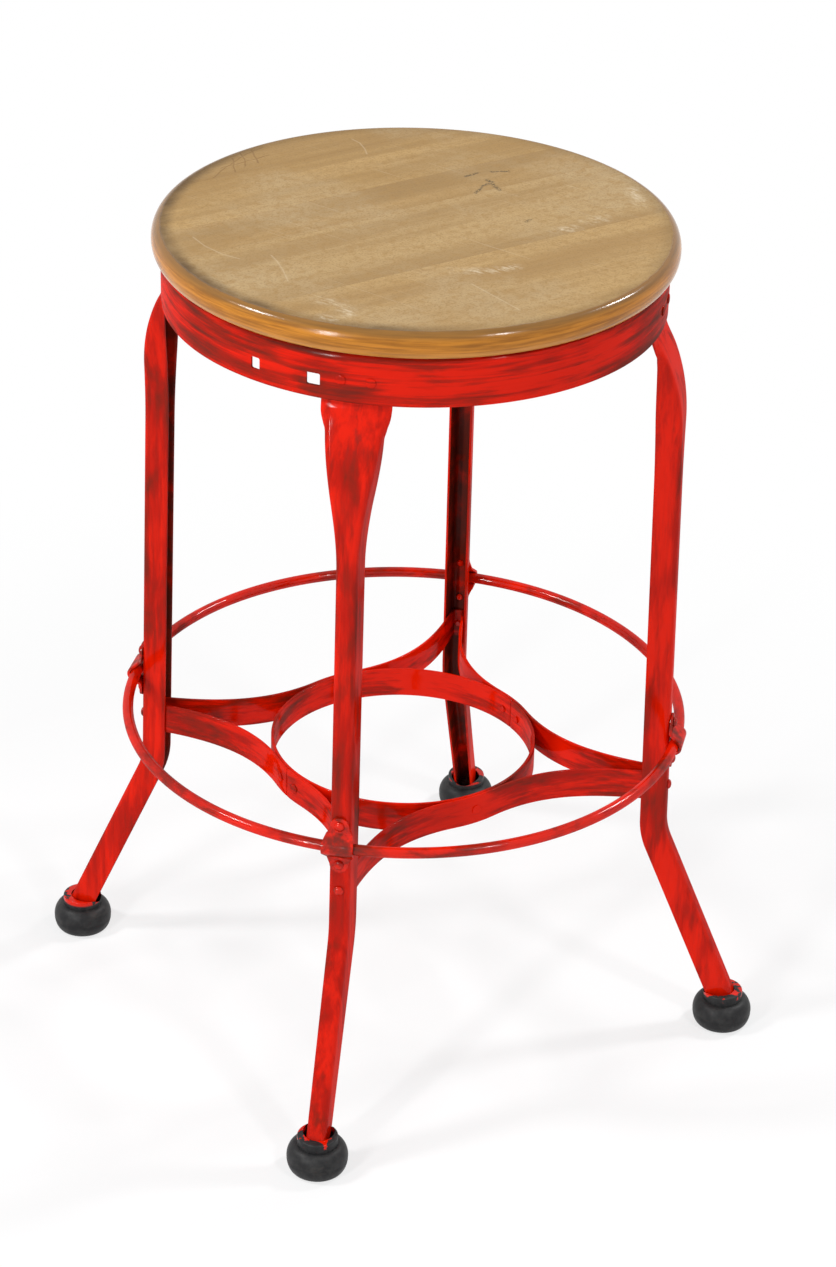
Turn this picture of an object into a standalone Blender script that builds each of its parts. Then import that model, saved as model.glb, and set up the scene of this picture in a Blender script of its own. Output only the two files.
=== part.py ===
"""Industrial stool: a glued-up wooden seat on a riveted frame of pressed sheet steel, with rubber feet.

Metres, +Z up. The origin is on the floor at the stool's centre, and the four legs stand on the axes.
"""

import math

import bmesh
import bpy
from mathutils import Matrix, Vector

for leftover in list(bpy.data.objects):
    bpy.data.objects.remove(leftover, do_unlink=True)

# Gap left between pieces that touch
CLEARANCE = 0.0003

# Seat: edge-glued boards, turned to a disc with a half-round nose
SEAT_HEIGHT = 0.607
SEAT_DIAMETER = 0.356
SEAT_THICKNESS = 0.019
SEAT_NOSE = 0.0065
BOARD_DIRECTION = math.radians(45)
GLUE_LINES = (-0.064, 0.025, 0.067, 0.133)
NARROWEST_BOARD = 0.010

# Apron: a rolled sheet band under the seat, with a flange that carries it
APRON_SETBACK = 0.0063
APRON_DEPTH = 0.0347
APRON_SHEET = 0.0016
APRON_SHOULDER = 0.0055
APRON_FLANGE = 0.021
SQUARE_HOLE_ANGLES = (math.radians(-9.6), math.radians(-24.1))
SQUARE_HOLE_WIDTHS = (0.0094, 0.0069)
SQUARE_HOLE_HEIGHT = 0.0084
SQUARE_HOLE_RISE = 0.0129

# Seat screws, up through the flange
SCREW_SHANK = 0.004
SCREW_LENGTH = 0.015
SCREW_POINT = 0.005
SCREW_HEAD = 0.008
SCREW_HEAD_HEIGHT = 0.0024
SCREW_CROWN = 0.0053

# Legs: one pressed sheet each, flat at the head and folded to a channel that narrows below it
LEG_SHEET = 0.0017
LEG_HEAD = 0.047
LEG_WEB = 0.0065
LEG_WALL = 0.0144
LEG_CORNER = 0.004
LEG_FOLD = math.radians(84)
LEG_FOOT_FOLD = math.radians(90)
LEG_FLARE = 0.118
LEG_HEAD_WALL = 0.0015
FOLD_START = 0.002
FOLD_RUN = 0.020
LEG_HEAD_DROP = 0.0005
SHOULDER_ANGLE = math.radians(30)
SHOULDER_BEND = 0.010
KNEE_HEIGHT = 0.160
KNEE_OUTSET = 0.0238
KNEE_BEND = 0.045
LEG_LEAN = math.radians(1.1)
LEG_SPLAY = math.radians(23.5)

# Foot ring and the saddle clips that hold it to the legs
RING_HEIGHT = 0.2333
RING_ROD = 0.0077
CLIP_SHEET = 0.0018
CLIP_FLANK = math.radians(50)
CLIP_WIDTH = 0.022
CLIP_LOBE = 0.0064
CLIP_RIVET_PITCH = 0.030
CLIP_END_CUT = math.radians(72)

# Brace: a four-pointed strap bowed in from the legs, riveted to a centre ring of the same strap
BRACE_DROP = 0.0369
BRACE_RING_DIAMETER = 0.191
STRAP_SHEET = 0.002
STRAP_HEIGHT = 0.0225
STRAP_BEND = 0.0022
STRAP_HUG = 0.016
STRAP_BOW = 0.38
STRAP_SEAM = 0.0006
SEAM_RIVET_PITCH = 0.019

# Rivets
RIVET_SHANK = 0.004
RIVET_HEAD = 0.007
RIVET_HEAD_HEIGHT = 0.0024
FLUSH_HEAD_HEIGHT = 0.0010
RIVET_TAIL = 0.0052
RIVET_TAIL_HEIGHT = 0.0014
HEAD_RIVET_PITCH = 0.020
HEAD_RIVET_HEIGHT = 0.0155

# Rubber feet, each with a steel washer under the leg's end
FOOT_HEIGHT = 0.028
FOOT_SOLE = 0.0062
FOOT_BULGE = 0.0072
FOOT_TOE = 0.0047
FOOT_WAIST = 0.0105
COLLAR_WALL = 0.0022
COLLAR_HEIGHT = 0.0070
WASHER_SHEET = 0.0015
WASHER_HOLE = 0.008

# How finely round shapes are divided, and how the rows crowd towards the start of the leg's flare
SEAT_STEPS = 64
NOSE_STEPS = 5
APRON_STEPS = 64
SHOULDER_STEPS = 2
BEND_STEPS = 3
DOME_STEPS = 2
WEB_STEPS = 2
FLARE_STEPS = 12
FLARE_CROWDING = 1.3
KNEE_STEPS = 3
RING_STEPS = 64
ROD_SIDES = 8
BRACE_STEPS = 48
BOW_STEPS = 7
FOOT_STEPS = 20
WASHER_STEPS = 12
PIN_SIDES = 8
SMOOTH_BELOW = math.radians(35)

# Cutters reach this many times past what they cut
CUTTER_REACH = 4

# Places that follow from the sizes above
SEAT_RADIUS = SEAT_DIAMETER / 2
SEAT_BOTTOM = SEAT_HEIGHT - SEAT_THICKNESS
APRON_RADIUS = SEAT_RADIUS - APRON_SETBACK
APRON_TOP = SEAT_BOTTOM - CLEARANCE
APRON_BOTTOM = APRON_TOP - APRON_DEPTH
HEAD_RADIUS = APRON_RADIUS - APRON_SHEET - CLEARANCE
HEAD_TOP = APRON_TOP - APRON_SHOULDER - LEG_HEAD_DROP
KNEE_RADIUS = APRON_RADIUS + KNEE_OUTSET
BRACE_HEIGHT = RING_HEIGHT - BRACE_DROP
QUARTER = math.radians(90)
LEG_ANGLES = {"right": 0, "back": QUARTER, "left": 2 * QUARTER, "front": 3 * QUARTER}
FACING_OUT = Matrix.Rotation(QUARTER, 4, "Y")


def new_collection(name, hidden):
    collection = bpy.data.collections.new(name)
    collection.hide_render = hidden
    bpy.context.scene.collection.children.link(collection)
    return collection


parts = new_collection("industrial_stool", hidden=False)
cutters = new_collection("cutters", hidden=True)


def finish(name, colour, roughness, metallic):
    material = bpy.data.materials.new(name)
    material.use_nodes = True
    shader = material.node_tree.nodes["Principled BSDF"]
    shader.inputs["Base Color"].default_value = (*colour, 1)
    shader.inputs["Roughness"].default_value = roughness
    shader.inputs["Metallic"].default_value = metallic
    return material


varnished_wood = finish("varnished_wood", (0.40, 0.26, 0.12), 0.45, 0)
red_paint = finish("red_paint", (0.60, 0.015, 0.010), 0.25, 0)
black_rubber = finish("black_rubber", (0.030, 0.031, 0.033), 0.60, 0)
plain_steel = finish("plain_steel", (0.45, 0.44, 0.42), 0.35, 1)


def working_object(name, mesh):
    obj = bpy.data.objects.new(name, mesh)
    parts.objects.link(obj)
    return obj


def mesh_from(name, work):
    mesh = bpy.data.meshes.new(name)
    work.to_mesh(mesh)
    work.free()
    return mesh


def turned(name, profile, steps, closed=False):
    """Object turned about Z from (radius, height) points that run down its outer side."""
    work = bmesh.new()
    points = [work.verts.new((radius, 0, height)) for radius, height in profile]
    ends = points[1:] + points[:1] if closed else points[1:]
    for start, end in zip(points, ends):
        work.edges.new((start, end))
    obj = working_object(name, mesh_from(name, work))
    screw = obj.modifiers.new("turn", "SCREW")
    screw.steps = screw.render_steps = steps
    screw.use_merge_vertices = True
    screw.merge_threshold = 1e-6
    return obj


def lofted(name, rows, sheet, offset):
    """Sheet of even thickness laid through rows of points, all rows alike in length."""
    work = bmesh.new()
    grid = [[work.verts.new(point) for point in row] for row in rows]
    for upper, lower in zip(grid, grid[1:]):
        for i in range(len(upper) - 1):
            work.faces.new((upper[i], lower[i], lower[i + 1], upper[i + 1]))
    return thickened(working_object(name, mesh_from(name, work)), sheet, offset)


def ribbon(name, path):
    """Strap on edge along a plan path of (x, y) points, at the brace's height."""
    work = bmesh.new()
    bottom = BRACE_HEIGHT - STRAP_HEIGHT / 2
    points = [work.verts.new((x, y, bottom)) for x, y in path]
    edges = [work.edges.new(pair) for pair in zip(points, points[1:])]
    swept = bmesh.ops.extrude_edge_only(work, edges=edges)["geom"]
    raised = [item for item in swept if isinstance(item, bmesh.types.BMVert)]
    bmesh.ops.translate(work, verts=raised, vec=(0, 0, STRAP_HEIGHT))
    return thickened(working_object(name, mesh_from(name, work)), STRAP_SHEET, 0)


def thickened(obj, sheet, offset):
    solidify = obj.modifiers.new("sheet", "SOLIDIFY")
    solidify.thickness = sheet
    solidify.offset = offset
    solidify.use_even_offset = True
    return obj


def pin_cutter(name, spots, radius, length, sides=PIN_SIDES):
    """Cutter with one round pin, centred on each spot and lying along its Z."""
    work = bmesh.new()
    for spot in spots:
        bmesh.ops.create_cone(
            work,
            cap_ends=True,
            segments=sides,
            radius1=radius,
            radius2=radius,
            depth=length,
            matrix=spot,
        )
    return as_cutter(name, work)


def box_cutter(name, spots, size):
    """Cutter with one box of the given sides, centred on each spot."""
    work = bmesh.new()
    for spot in spots:
        bmesh.ops.create_cube(work, matrix=spot @ Matrix.Diagonal((*size, 1)))
    return as_cutter(name, work)


def as_cutter(name, work):
    cutter = bpy.data.objects.new(name, mesh_from(name, work))
    cutter.hide_render = True
    cutter.display_type = "WIRE"
    cutters.objects.link(cutter)
    return cutter


def cut(obj, cutter, operation="DIFFERENCE"):
    boolean = obj.modifiers.new(cutter.name, "BOOLEAN")
    boolean.operation = operation
    boolean.object = cutter


def baked(obj, material):
    """Mesh of the object with its modifiers applied; the working object goes."""
    graph = bpy.context.evaluated_depsgraph_get()
    mesh = bpy.data.meshes.new_from_object(obj.evaluated_get(graph))
    mesh.name = obj.name
    bpy.data.objects.remove(obj, do_unlink=True)
    mesh.materials.clear()
    mesh.materials.append(material)
    mesh.shade_smooth()
    mesh.set_sharp_from_angle(angle=SMOOTH_BELOW)
    return mesh


def place(name, mesh, station, where=None):
    obj = bpy.data.objects.new(name, mesh)
    parts.objects.link(obj)
    obj.parent = station
    obj.matrix_basis = where or Matrix.Identity(4)
    return obj


def new_station(name, angle):
    station = bpy.data.objects.new(name, None)
    station.rotation_euler.z = angle
    parts.objects.link(station)
    return station


def around(angle):
    return Matrix.Rotation(angle, 4, "Z")


def shifted(x, y, z):
    return Matrix.Translation((x, y, z))


def polar(radius, angle):
    return (radius * math.cos(angle), radius * math.sin(angle))


def shares(count):
    """Fractions from 0 to 1 in equal steps."""
    return [i / count for i in range(count + 1)]


# Rivets and their holes


def rivet_mesh(name, grip, head_height):
    """Rivet along Z: its head seats on z = 0 and its tail is upset below the grip."""
    shank = RIVET_SHANK / 2
    head = RIVET_HEAD / 2
    tail = RIVET_TAIL / 2
    tail_top = -grip - CLEARANCE
    tail_bottom = tail_top - RIVET_TAIL_HEIGHT
    dome = [
        (head * math.sin(QUARTER * s), CLEARANCE + head_height * math.cos(QUARTER * s))
        for s in shares(DOME_STEPS)
    ]
    profile = dome + [
        (shank, CLEARANCE),
        (shank, tail_top),
        (tail, tail_top),
        (tail, tail_bottom),
        (0, tail_bottom),
    ]
    return baked(turned(name, profile, PIN_SIDES), red_paint)


RIVET_HOLE = RIVET_SHANK / 2 + CLEARANCE
DRILL_LENGTH = CUTTER_REACH * (APRON_SHEET + LEG_SHEET + STRAP_SHEET)

# Leg: its path, its folds and its sheet


def along(moves, start, distance):
    """Radius, height and heading after a distance; each move is a length and an outward turn."""
    radius, height = start
    heading = 0
    left = distance
    for length, turn in moves:
        step = min(left, length)
        angle = turn * step / length
        if turn:
            bend = length / turn
            radius += bend * (math.cos(heading) - math.cos(heading + angle))
            height -= bend * (math.sin(heading + angle) - math.sin(heading))
        else:
            radius += step * math.sin(heading)
            height -= step * math.cos(heading)
        heading += angle
        left -= step
        if left <= 0:
            break
    return radius, height, heading


FOLDED_CORNER = LEG_CORNER * LEG_FOLD
HEAD_WEB = LEG_HEAD - 2 * (FOLDED_CORNER + LEG_HEAD_WALL)


def folded_half(fold, web, wall):
    """Outer face of half the sheet as (across, depth), from the web's middle out to the wall's edge."""
    steps = [(web / 2 / WEB_STEPS, 0)] * WEB_STEPS
    steps += [(FOLDED_CORNER / BEND_STEPS, fold / BEND_STEPS)] * BEND_STEPS + [(wall, 0)]
    across = depth = angle = 0
    points = []
    for length, turn in steps:
        across += length * math.cos(angle + turn / 2)
        depth += length * math.sin(angle + turn / 2)
        angle += turn
        points.append((across, depth))
    return points


def folded(fold, web=LEG_WEB, wall=LEG_WALL):
    half = folded_half(fold, web, wall)
    return [(-across, depth) for across, depth in reversed(half)] + half


def round_fit(section):
    """Depth of the centre and radius of the smallest circle round a section even about its middle."""
    low = 0
    high = max(depth for _, depth in section)

    def reach(centre):
        return max(math.hypot(across, depth - centre) for across, depth in section)

    while high - low > 1e-7:
        third = (high - low) / 3
        if reach(low + third) < reach(high - third):
            high -= third
        else:
            low += third
    return low, reach(low)


CHANNEL_CENTRE, CHANNEL_REACH = round_fit(folded(LEG_FOOT_FOLD))
CHANNEL_DEPTH = max(depth for _, depth in folded(LEG_FOLD))
SOCKET_RADIUS = CHANNEL_REACH + CLEARANCE
SOCKET_FLOOR = FOOT_SOLE + SOCKET_RADIUS * math.sin(LEG_SPLAY)
LEG_END_CENTRE = SOCKET_FLOOR + (WASHER_SHEET + 2 * CLEARANCE) * math.cos(LEG_SPLAY)
LEG_END = LEG_END_CENTRE + CHANNEL_CENTRE * math.sin(LEG_SPLAY)


def web_radius(height):
    """Radius of the web's outer face on the straight shank."""
    return KNEE_RADIUS + (KNEE_HEIGHT - height) * math.tan(LEG_LEAN)


def splay_radius(height):
    """Radius of the channel's centre line below the knee."""
    web_drop = KNEE_HEIGHT - height - CHANNEL_CENTRE * math.sin(LEG_SPLAY)
    return KNEE_RADIUS + web_drop * math.tan(LEG_SPLAY) - CHANNEL_CENTRE * math.cos(LEG_SPLAY)


def leg_moves():
    """Head, shoulder out, shoulder back, shank, knee and splayed end, as (length, turn)."""
    head = HEAD_TOP - APRON_BOTTOM
    out_radius = HEAD_RADIUS + SHOULDER_BEND * (1 - math.cos(SHOULDER_ANGLE))
    out_height = APRON_BOTTOM - SHOULDER_BEND * math.sin(SHOULDER_ANGLE)
    rise = math.cos(LEG_LEAN) - math.cos(SHOULDER_ANGLE)
    fall = math.sin(SHOULDER_ANGLE) - math.sin(LEG_LEAN)
    back_bend = (web_radius(out_height) - out_radius) / (rise - fall * math.tan(LEG_LEAN))
    shank_top = out_height - back_bend * fall
    knee_turn = LEG_SPLAY - LEG_LEAN
    tangent = KNEE_BEND * math.tan(knee_turn / 2)
    return [
        (head, 0),
        (SHOULDER_BEND * SHOULDER_ANGLE, SHOULDER_ANGLE),
        (back_bend * (SHOULDER_ANGLE - LEG_LEAN), LEG_LEAN - SHOULDER_ANGLE),
        ((shank_top - KNEE_HEIGHT) / math.cos(LEG_LEAN) - tangent, 0),
        (KNEE_BEND * knee_turn, knee_turn),
        ((KNEE_HEIGHT - LEG_END) / math.cos(LEG_SPLAY) - tangent, 0),
    ]


def share_of(distance, start, run):
    """How far a distance has come along a run, from 0 to 1."""
    return min(1, max(0, (distance - start) / run))


def eased(share):
    """A share that starts and ends slowly."""
    return share * share * (3 - 2 * share)


def leg_mesh(rivet_places):
    """Sheet that is flat at its head; down the flare the web narrows and its walls fold back to one straight edge."""
    moves = leg_moves()
    lengths = [length for length, _ in moves]
    head, bent = lengths[0], lengths[0] + lengths[1]
    knee, end = sum(lengths[:4]), sum(lengths)
    flare = head + LEG_FLARE - bent
    stations = [0] + [head + lengths[1] * s for s in shares(BEND_STEPS)]
    stations += [bent + flare * s**FLARE_CROWDING for s in shares(FLARE_STEPS)[1:]]
    stations += [knee + lengths[4] * s for s in shares(KNEE_STEPS)]
    stations.append(end)
    rows = []
    for station in stations:
        radius, height, heading = along(moves, (HEAD_RADIUS, HEAD_TOP), station)
        below = station - head
        folding = eased(share_of(below, FOLD_START, FOLD_RUN))
        narrowing = eased(share_of(below, 0, LEG_FLARE))
        set_in = web_radius(height) - radius
        closing = share_of(station, knee, end - knee)
        fold = LEG_FOLD * folding + (LEG_FOOT_FOLD - LEG_FOLD) * closing
        web = HEAD_WEB + (LEG_WEB - HEAD_WEB) * narrowing
        wall = min(LEG_WALL, max(LEG_HEAD_WALL, LEG_WALL - set_in))
        row = []
        for across, depth in folded(fold, web, wall):
            rolled = HEAD_RADIUS - math.sqrt(HEAD_RADIUS**2 - across**2)
            inward = depth + rolled * (1 - folding)
            row.append((radius - inward * math.cos(heading), across, height - inward * math.sin(heading)))
        rows.append(row)
    leg = lofted("leg", rows, LEG_SHEET, -1)
    cut(leg, pin_cutter("leg_rivet_holes", rivet_places, RIVET_HOLE, DRILL_LENGTH))
    return baked(leg, red_paint)


def web_frame(height):
    """Frame on the shank's outer face: X down the web, Y across it, Z outward."""
    return shifted(web_radius(height), 0, height) @ Matrix.Rotation(QUARTER - LEG_LEAN, 4, "Y")


# Saddle clip: two lobes flat on the web and a saddle bent over the rod


def clip_mesh():
    hug = RING_ROD / 2 + CLEARANCE
    rod_centre = CLEARANCE + RING_ROD / 2
    touch_out = rod_centre + hug * math.cos(CLIP_FLANK)
    touch_along = hug * math.sin(CLIP_FLANK)
    flank_foot = touch_along + (touch_out - CLEARANCE) / math.tan(CLIP_FLANK)
    rivet = CLIP_RIVET_PITCH / 2
    waist = CLIP_WIDTH / 2
    taper = (waist - CLIP_LOBE) / (rivet - touch_along)
    half = [(rivet + CLIP_LOBE * math.sin(a), CLEARANCE, CLIP_LOBE * math.cos(a))
            for a in [CLIP_END_CUT * (1 - s) for s in shares(BEND_STEPS)]]
    half.append((flank_foot, CLEARANCE, waist - taper * (flank_foot - touch_along)))
    half += [(hug * math.sin(a), rod_centre + hug * math.cos(a), waist)
             for a in [CLIP_FLANK * (1 - s) for s in shares(BEND_STEPS)]]
    profile = [(-x, out, width) for x, out, width in half]
    profile += [(x, out, width) for x, out, width in reversed(half[:-1])]
    rows = [[(x, side * width, out) for side in (-1, 0, 1)] for x, out, width in profile]
    clip = lofted("ring_clip", rows, CLIP_SHEET, 1)
    holes = [shifted(side * rivet, 0, 0) for side in (-1, 1)]
    cut(clip, pin_cutter("clip_rivet_holes", holes, RIVET_HOLE, DRILL_LENGTH))
    return baked(clip, red_paint)


# Brace: where the strap folds into each leg and where it hugs the centre ring

APEX_RADIUS = web_radius(BRACE_HEIGHT + STRAP_HEIGHT / 2) - LEG_SHEET / math.cos(LEG_LEAN) - CLEARANCE
HUG_RADIUS = BRACE_RING_DIAMETER / 2 + CLEARANCE + STRAP_SHEET / 2
HUG_ANGLE = STRAP_HUG / HUG_RADIUS
SEAM_RIVET_ANGLE = SEAM_RIVET_PITCH / 2 / HUG_RADIUS
MIDWAY = QUARTER / 2
STRAP_SEAM_AT = LEG_ANGLES["front"] - MIDWAY
RING_SEAM_AT = LEG_ANGLES["right"] + MIDWAY


def bezier(start, start_handle, end_handle, end, s):
    return (
        start * (1 - s) ** 3
        + start_handle * 3 * s * (1 - s) ** 2
        + end_handle * 3 * s**2 * (1 - s)
        + end * s**3
    )


def strap_eighth():
    """Middle line of the strap in plan, from a leg on +X out to the ring midway to the next leg."""
    middle = APEX_RADIUS - STRAP_SHEET / 2
    outside = STRAP_BEND + STRAP_SHEET / 2
    slack = LEG_CORNER - LEG_SHEET - CLEARANCE - outside
    fold_depth = LEG_SHEET + CLEARANCE + outside
    flat = LEG_WEB / 2 + (slack - (LEG_CORNER - fold_depth) * math.cos(LEG_FOLD)) / math.sin(LEG_FOLD)
    points = [
        (middle - STRAP_BEND * (1 - math.cos(a)), flat + STRAP_BEND * math.sin(a))
        for a in [LEG_FOLD * s for s in shares(BEND_STEPS)]
    ]
    arm = Vector((-math.sin(LEG_FOLD), math.cos(LEG_FOLD)))
    mouth = APEX_RADIUS + LEG_SHEET - CHANNEL_DEPTH - STRAP_SHEET
    start = Vector(points[-1])
    start += arm * ((start.x - mouth) / -arm.x)
    leave = MIDWAY - HUG_ANGLE
    end = Vector(polar(HUG_RADIUS, leave))
    handle = (end - start).length * STRAP_BOW
    into_ring = Vector(polar(1, leave + QUARTER))
    for s in shares(BOW_STEPS):
        points.append(tuple(bezier(start, start + arm * handle, end - into_ring * handle, end, s)))
    points.append(polar(HUG_RADIUS, leave + HUG_ANGLE / 2))
    points.append(polar(HUG_RADIUS, MIDWAY))
    return points


def strap_path():
    eighth = strap_eighth()
    quarter = [(x, -y) for x, y in reversed(eighth)] + eighth
    path = []
    for name in ("front", "right", "back", "left"):
        turn = Matrix.Rotation(LEG_ANGLES[name], 2)
        path += [tuple(turn @ Vector(point)) for point in quarter[:-1]]
    half_seam = STRAP_SEAM / 2 / HUG_RADIUS
    path[0] = polar(HUG_RADIUS, STRAP_SEAM_AT + half_seam)
    path.append(polar(HUG_RADIUS, STRAP_SEAM_AT - half_seam))
    return path


def ring_path():
    radius = BRACE_RING_DIAMETER / 2 - STRAP_SHEET / 2
    half_seam = STRAP_SEAM / 2 / radius
    sweep = 4 * QUARTER - 2 * half_seam
    return [polar(radius, RING_SEAM_AT + half_seam + sweep * s) for s in shares(BRACE_STEPS)]


def joint_rivet_angles():
    """One rivet where strap and ring run through, and one either side of a butt seam."""
    angles = []
    for leg_angle in LEG_ANGLES.values():
        at = leg_angle + MIDWAY
        seamed = any(abs(at - seam) < HUG_ANGLE for seam in (STRAP_SEAM_AT, RING_SEAM_AT))
        angles += [at - SEAM_RIVET_ANGLE, at + SEAM_RIVET_ANGLE] if seamed else [at]
    return angles


# Where each kind of rivet sits

head_rivets = [
    around(side * HEAD_RIVET_PITCH / 2 / APRON_RADIUS)
    @ shifted(APRON_RADIUS, 0, APRON_BOTTOM + HEAD_RIVET_HEIGHT)
    @ FACING_OUT
    for side in (-1, 1)
]
clip_rivets = [
    web_frame(RING_HEIGHT) @ shifted(side * CLIP_RIVET_PITCH / 2, 0, CLEARANCE + CLIP_SHEET)
    for side in (-1, 1)
]
brace_rivet = web_frame(BRACE_HEIGHT)
joint_rivets = [
    around(angle) @ shifted(HUG_RADIUS + STRAP_SHEET / 2, 0, BRACE_HEIGHT) @ FACING_OUT
    for angle in joint_rivet_angles()
]
leg_turns = [around(angle) for angle in LEG_ANGLES.values()]
all_head_rivets = [turn @ rivet for turn in leg_turns for rivet in head_rivets]
all_brace_rivets = [turn @ brace_rivet for turn in leg_turns]

# Seat boards and the screws that hold the seat

stool = new_station("stool", 0)

SCREW_CIRCLE = APRON_RADIUS - (APRON_SHOULDER + APRON_FLANGE) / 2
SCREW_SEAT = APRON_TOP - APRON_SHEET - CLEARANCE
PILOT_RADIUS = SCREW_SHANK / 2 + CLEARANCE
screw_places = [
    around(angle + MIDWAY) @ shifted(SCREW_CIRCLE, 0, SCREW_SEAT) for angle in LEG_ANGLES.values()
]
pilot = pin_cutter("screw_pilots", screw_places, PILOT_RADIUS, 2 * (SCREW_LENGTH + CLEARANCE))

nose = [
    (
        SEAT_RADIUS - SEAT_NOSE * (1 - math.sin(2 * QUARTER * s)),
        SEAT_BOTTOM + SEAT_THICKNESS * (1 + math.cos(2 * QUARTER * s)) / 2,
    )
    for s in shares(NOSE_STEPS)
]
seat_profile = [(0, SEAT_HEIGHT)] + nose + [(0, SEAT_BOTTOM)]
glue_lines = [line for line in GLUE_LINES if abs(line) < SEAT_RADIUS - NARROWEST_BOARD]
board_edges = [-SEAT_DIAMETER] + glue_lines + [SEAT_DIAMETER]
for number, (near, far) in enumerate(zip(board_edges, board_edges[1:]), 1):
    board = turned(f"seat_board_{number}", seat_profile, SEAT_STEPS)
    slab_place = around(BOARD_DIRECTION) @ shifted(0, (near + far) / 2, SEAT_BOTTOM)
    slab_size = (CUTTER_REACH * SEAT_DIAMETER, far - near - CLEARANCE, CUTTER_REACH * SEAT_THICKNESS)
    cut(board, box_cutter(f"board_slab_{number}", [slab_place], slab_size), "INTERSECT")
    cut(board, pilot)
    place(f"seat_board_{number}", baked(board, varnished_wood), stool)

screw_profile = [
    (0, SCREW_LENGTH),
    (SCREW_SHANK / 2, SCREW_LENGTH - SCREW_POINT),
    (SCREW_SHANK / 2, 0),
    (SCREW_HEAD / 2, 0),
    (SCREW_HEAD / 2, -SCREW_HEAD_HEIGHT / 2),
    (SCREW_CROWN / 2, -SCREW_HEAD_HEIGHT),
    (0, -SCREW_HEAD_HEIGHT),
]
screw_mesh = baked(turned("seat_screw", screw_profile, PIN_SIDES), plain_steel)
for number, where in enumerate(screw_places, 1):
    place(f"seat_screw_{number}", screw_mesh, stool, where)

# Apron

flange_edge = APRON_RADIUS - APRON_FLANGE
shoulder_centre = APRON_RADIUS - APRON_SHOULDER
shoulder = [
    (math.sin(QUARTER * s), APRON_TOP - APRON_SHOULDER, math.cos(QUARTER * s))
    for s in shares(SHOULDER_STEPS)
]
apron_profile = [(flange_edge, APRON_TOP)]
apron_profile += [(shoulder_centre + APRON_SHOULDER * x, z + APRON_SHOULDER * y) for x, z, y in shoulder]
apron_profile += [(APRON_RADIUS, APRON_BOTTOM), (APRON_RADIUS - APRON_SHEET, APRON_BOTTOM)]
inner_shoulder = APRON_SHOULDER - APRON_SHEET
apron_profile += [
    (shoulder_centre + inner_shoulder * x, z + inner_shoulder * y) for x, z, y in reversed(shoulder)
]
apron_profile.append((flange_edge, APRON_TOP - APRON_SHEET))
apron = turned("apron", apron_profile, APRON_STEPS, closed=True)
for angle, width in zip(SQUARE_HOLE_ANGLES, SQUARE_HOLE_WIDTHS):
    spot = around(LEG_ANGLES["front"] + angle) @ shifted(APRON_RADIUS, 0, APRON_BOTTOM + SQUARE_HOLE_RISE)
    cut(apron, box_cutter("square_hole", [spot], (DRILL_LENGTH, width, SQUARE_HOLE_HEIGHT)))
cut(apron, pin_cutter("apron_rivet_holes", all_head_rivets, RIVET_HOLE, DRILL_LENGTH))
cut(apron, pilot)
place("apron", baked(apron, red_paint), stool)

# Foot ring, turned so that a flat of its polygon faces each leg

ring_half_step = 2 * QUARTER / RING_STEPS
ring_radius = web_radius(RING_HEIGHT) + (CLEARANCE + RING_ROD / 2) / math.cos(LEG_LEAN)
bpy.ops.mesh.primitive_torus_add(
    major_radius=ring_radius / math.cos(ring_half_step),
    minor_radius=RING_ROD / 2,
    major_segments=RING_STEPS,
    minor_segments=ROD_SIDES,
)
foot_ring = bpy.context.object
foot_ring.name = "rod_ring"
place("foot_ring", baked(foot_ring, red_paint), stool, around(ring_half_step) @ shifted(0, 0, RING_HEIGHT))

# Brace strap, centre ring and the rivets between them

joint_holes = pin_cutter("joint_rivet_holes", joint_rivets, RIVET_HOLE, DRILL_LENGTH)
apex_holes = pin_cutter("apex_rivet_holes", all_brace_rivets, RIVET_HOLE, DRILL_LENGTH)
brace_strap = ribbon("brace_strap", strap_path())
cut(brace_strap, joint_holes)
cut(brace_strap, apex_holes)
place("brace_strap", baked(brace_strap, red_paint), stool)
brace_ring = ribbon("brace_ring", ring_path())
cut(brace_ring, joint_holes)
place("brace_ring", baked(brace_ring, red_paint), stool)
joint_rivet_mesh = rivet_mesh("joint_rivet", 2 * STRAP_SHEET + CLEARANCE, FLUSH_HEAD_HEIGHT)
for number, where in enumerate(joint_rivets, 1):
    place(f"brace_ring_rivet_{number}", joint_rivet_mesh, stool, where)

# Rubber foot and its washer, about the foot's own upright axis

foot_axis = splay_radius((SOCKET_FLOOR + FOOT_HEIGHT) / 2)
floor_centre = shifted(splay_radius(SOCKET_FLOOR) - foot_axis, 0, SOCKET_FLOOR)
up_leg = floor_centre @ Matrix.Rotation(-LEG_SPLAY, 4, "Y")
collar = SOCKET_RADIUS / math.cos(LEG_SPLAY) + COLLAR_WALL
belly = collar + FOOT_BULGE
collar_foot = FOOT_HEIGHT - COLLAR_HEIGHT
foot_profile = [(0, FOOT_HEIGHT), (collar - COLLAR_WALL / 2, FOOT_HEIGHT)]
foot_profile += [(collar, FOOT_HEIGHT - COLLAR_WALL / 2)]
foot_profile += [
    (
        collar + FOOT_BULGE * math.sin(QUARTER * s),
        FOOT_WAIST + (collar_foot - FOOT_WAIST) * math.cos(QUARTER * s),
    )
    for s in shares(BEND_STEPS)
]
foot_profile += [
    (belly - FOOT_TOE * (1 - math.cos(QUARTER * s)), FOOT_WAIST * (1 - math.sin(QUARTER * s)))
    for s in shares(BEND_STEPS)[1:]
]
foot_profile.append((0, 0))
foot = turned("rubber_foot", foot_profile, FOOT_STEPS)
socket_place = up_leg @ shifted(0, 0, FOOT_HEIGHT)
cut(foot, pin_cutter("foot_socket", [socket_place], SOCKET_RADIUS, 2 * FOOT_HEIGHT, FOOT_STEPS))
foot_mesh = baked(foot, black_rubber)

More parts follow.
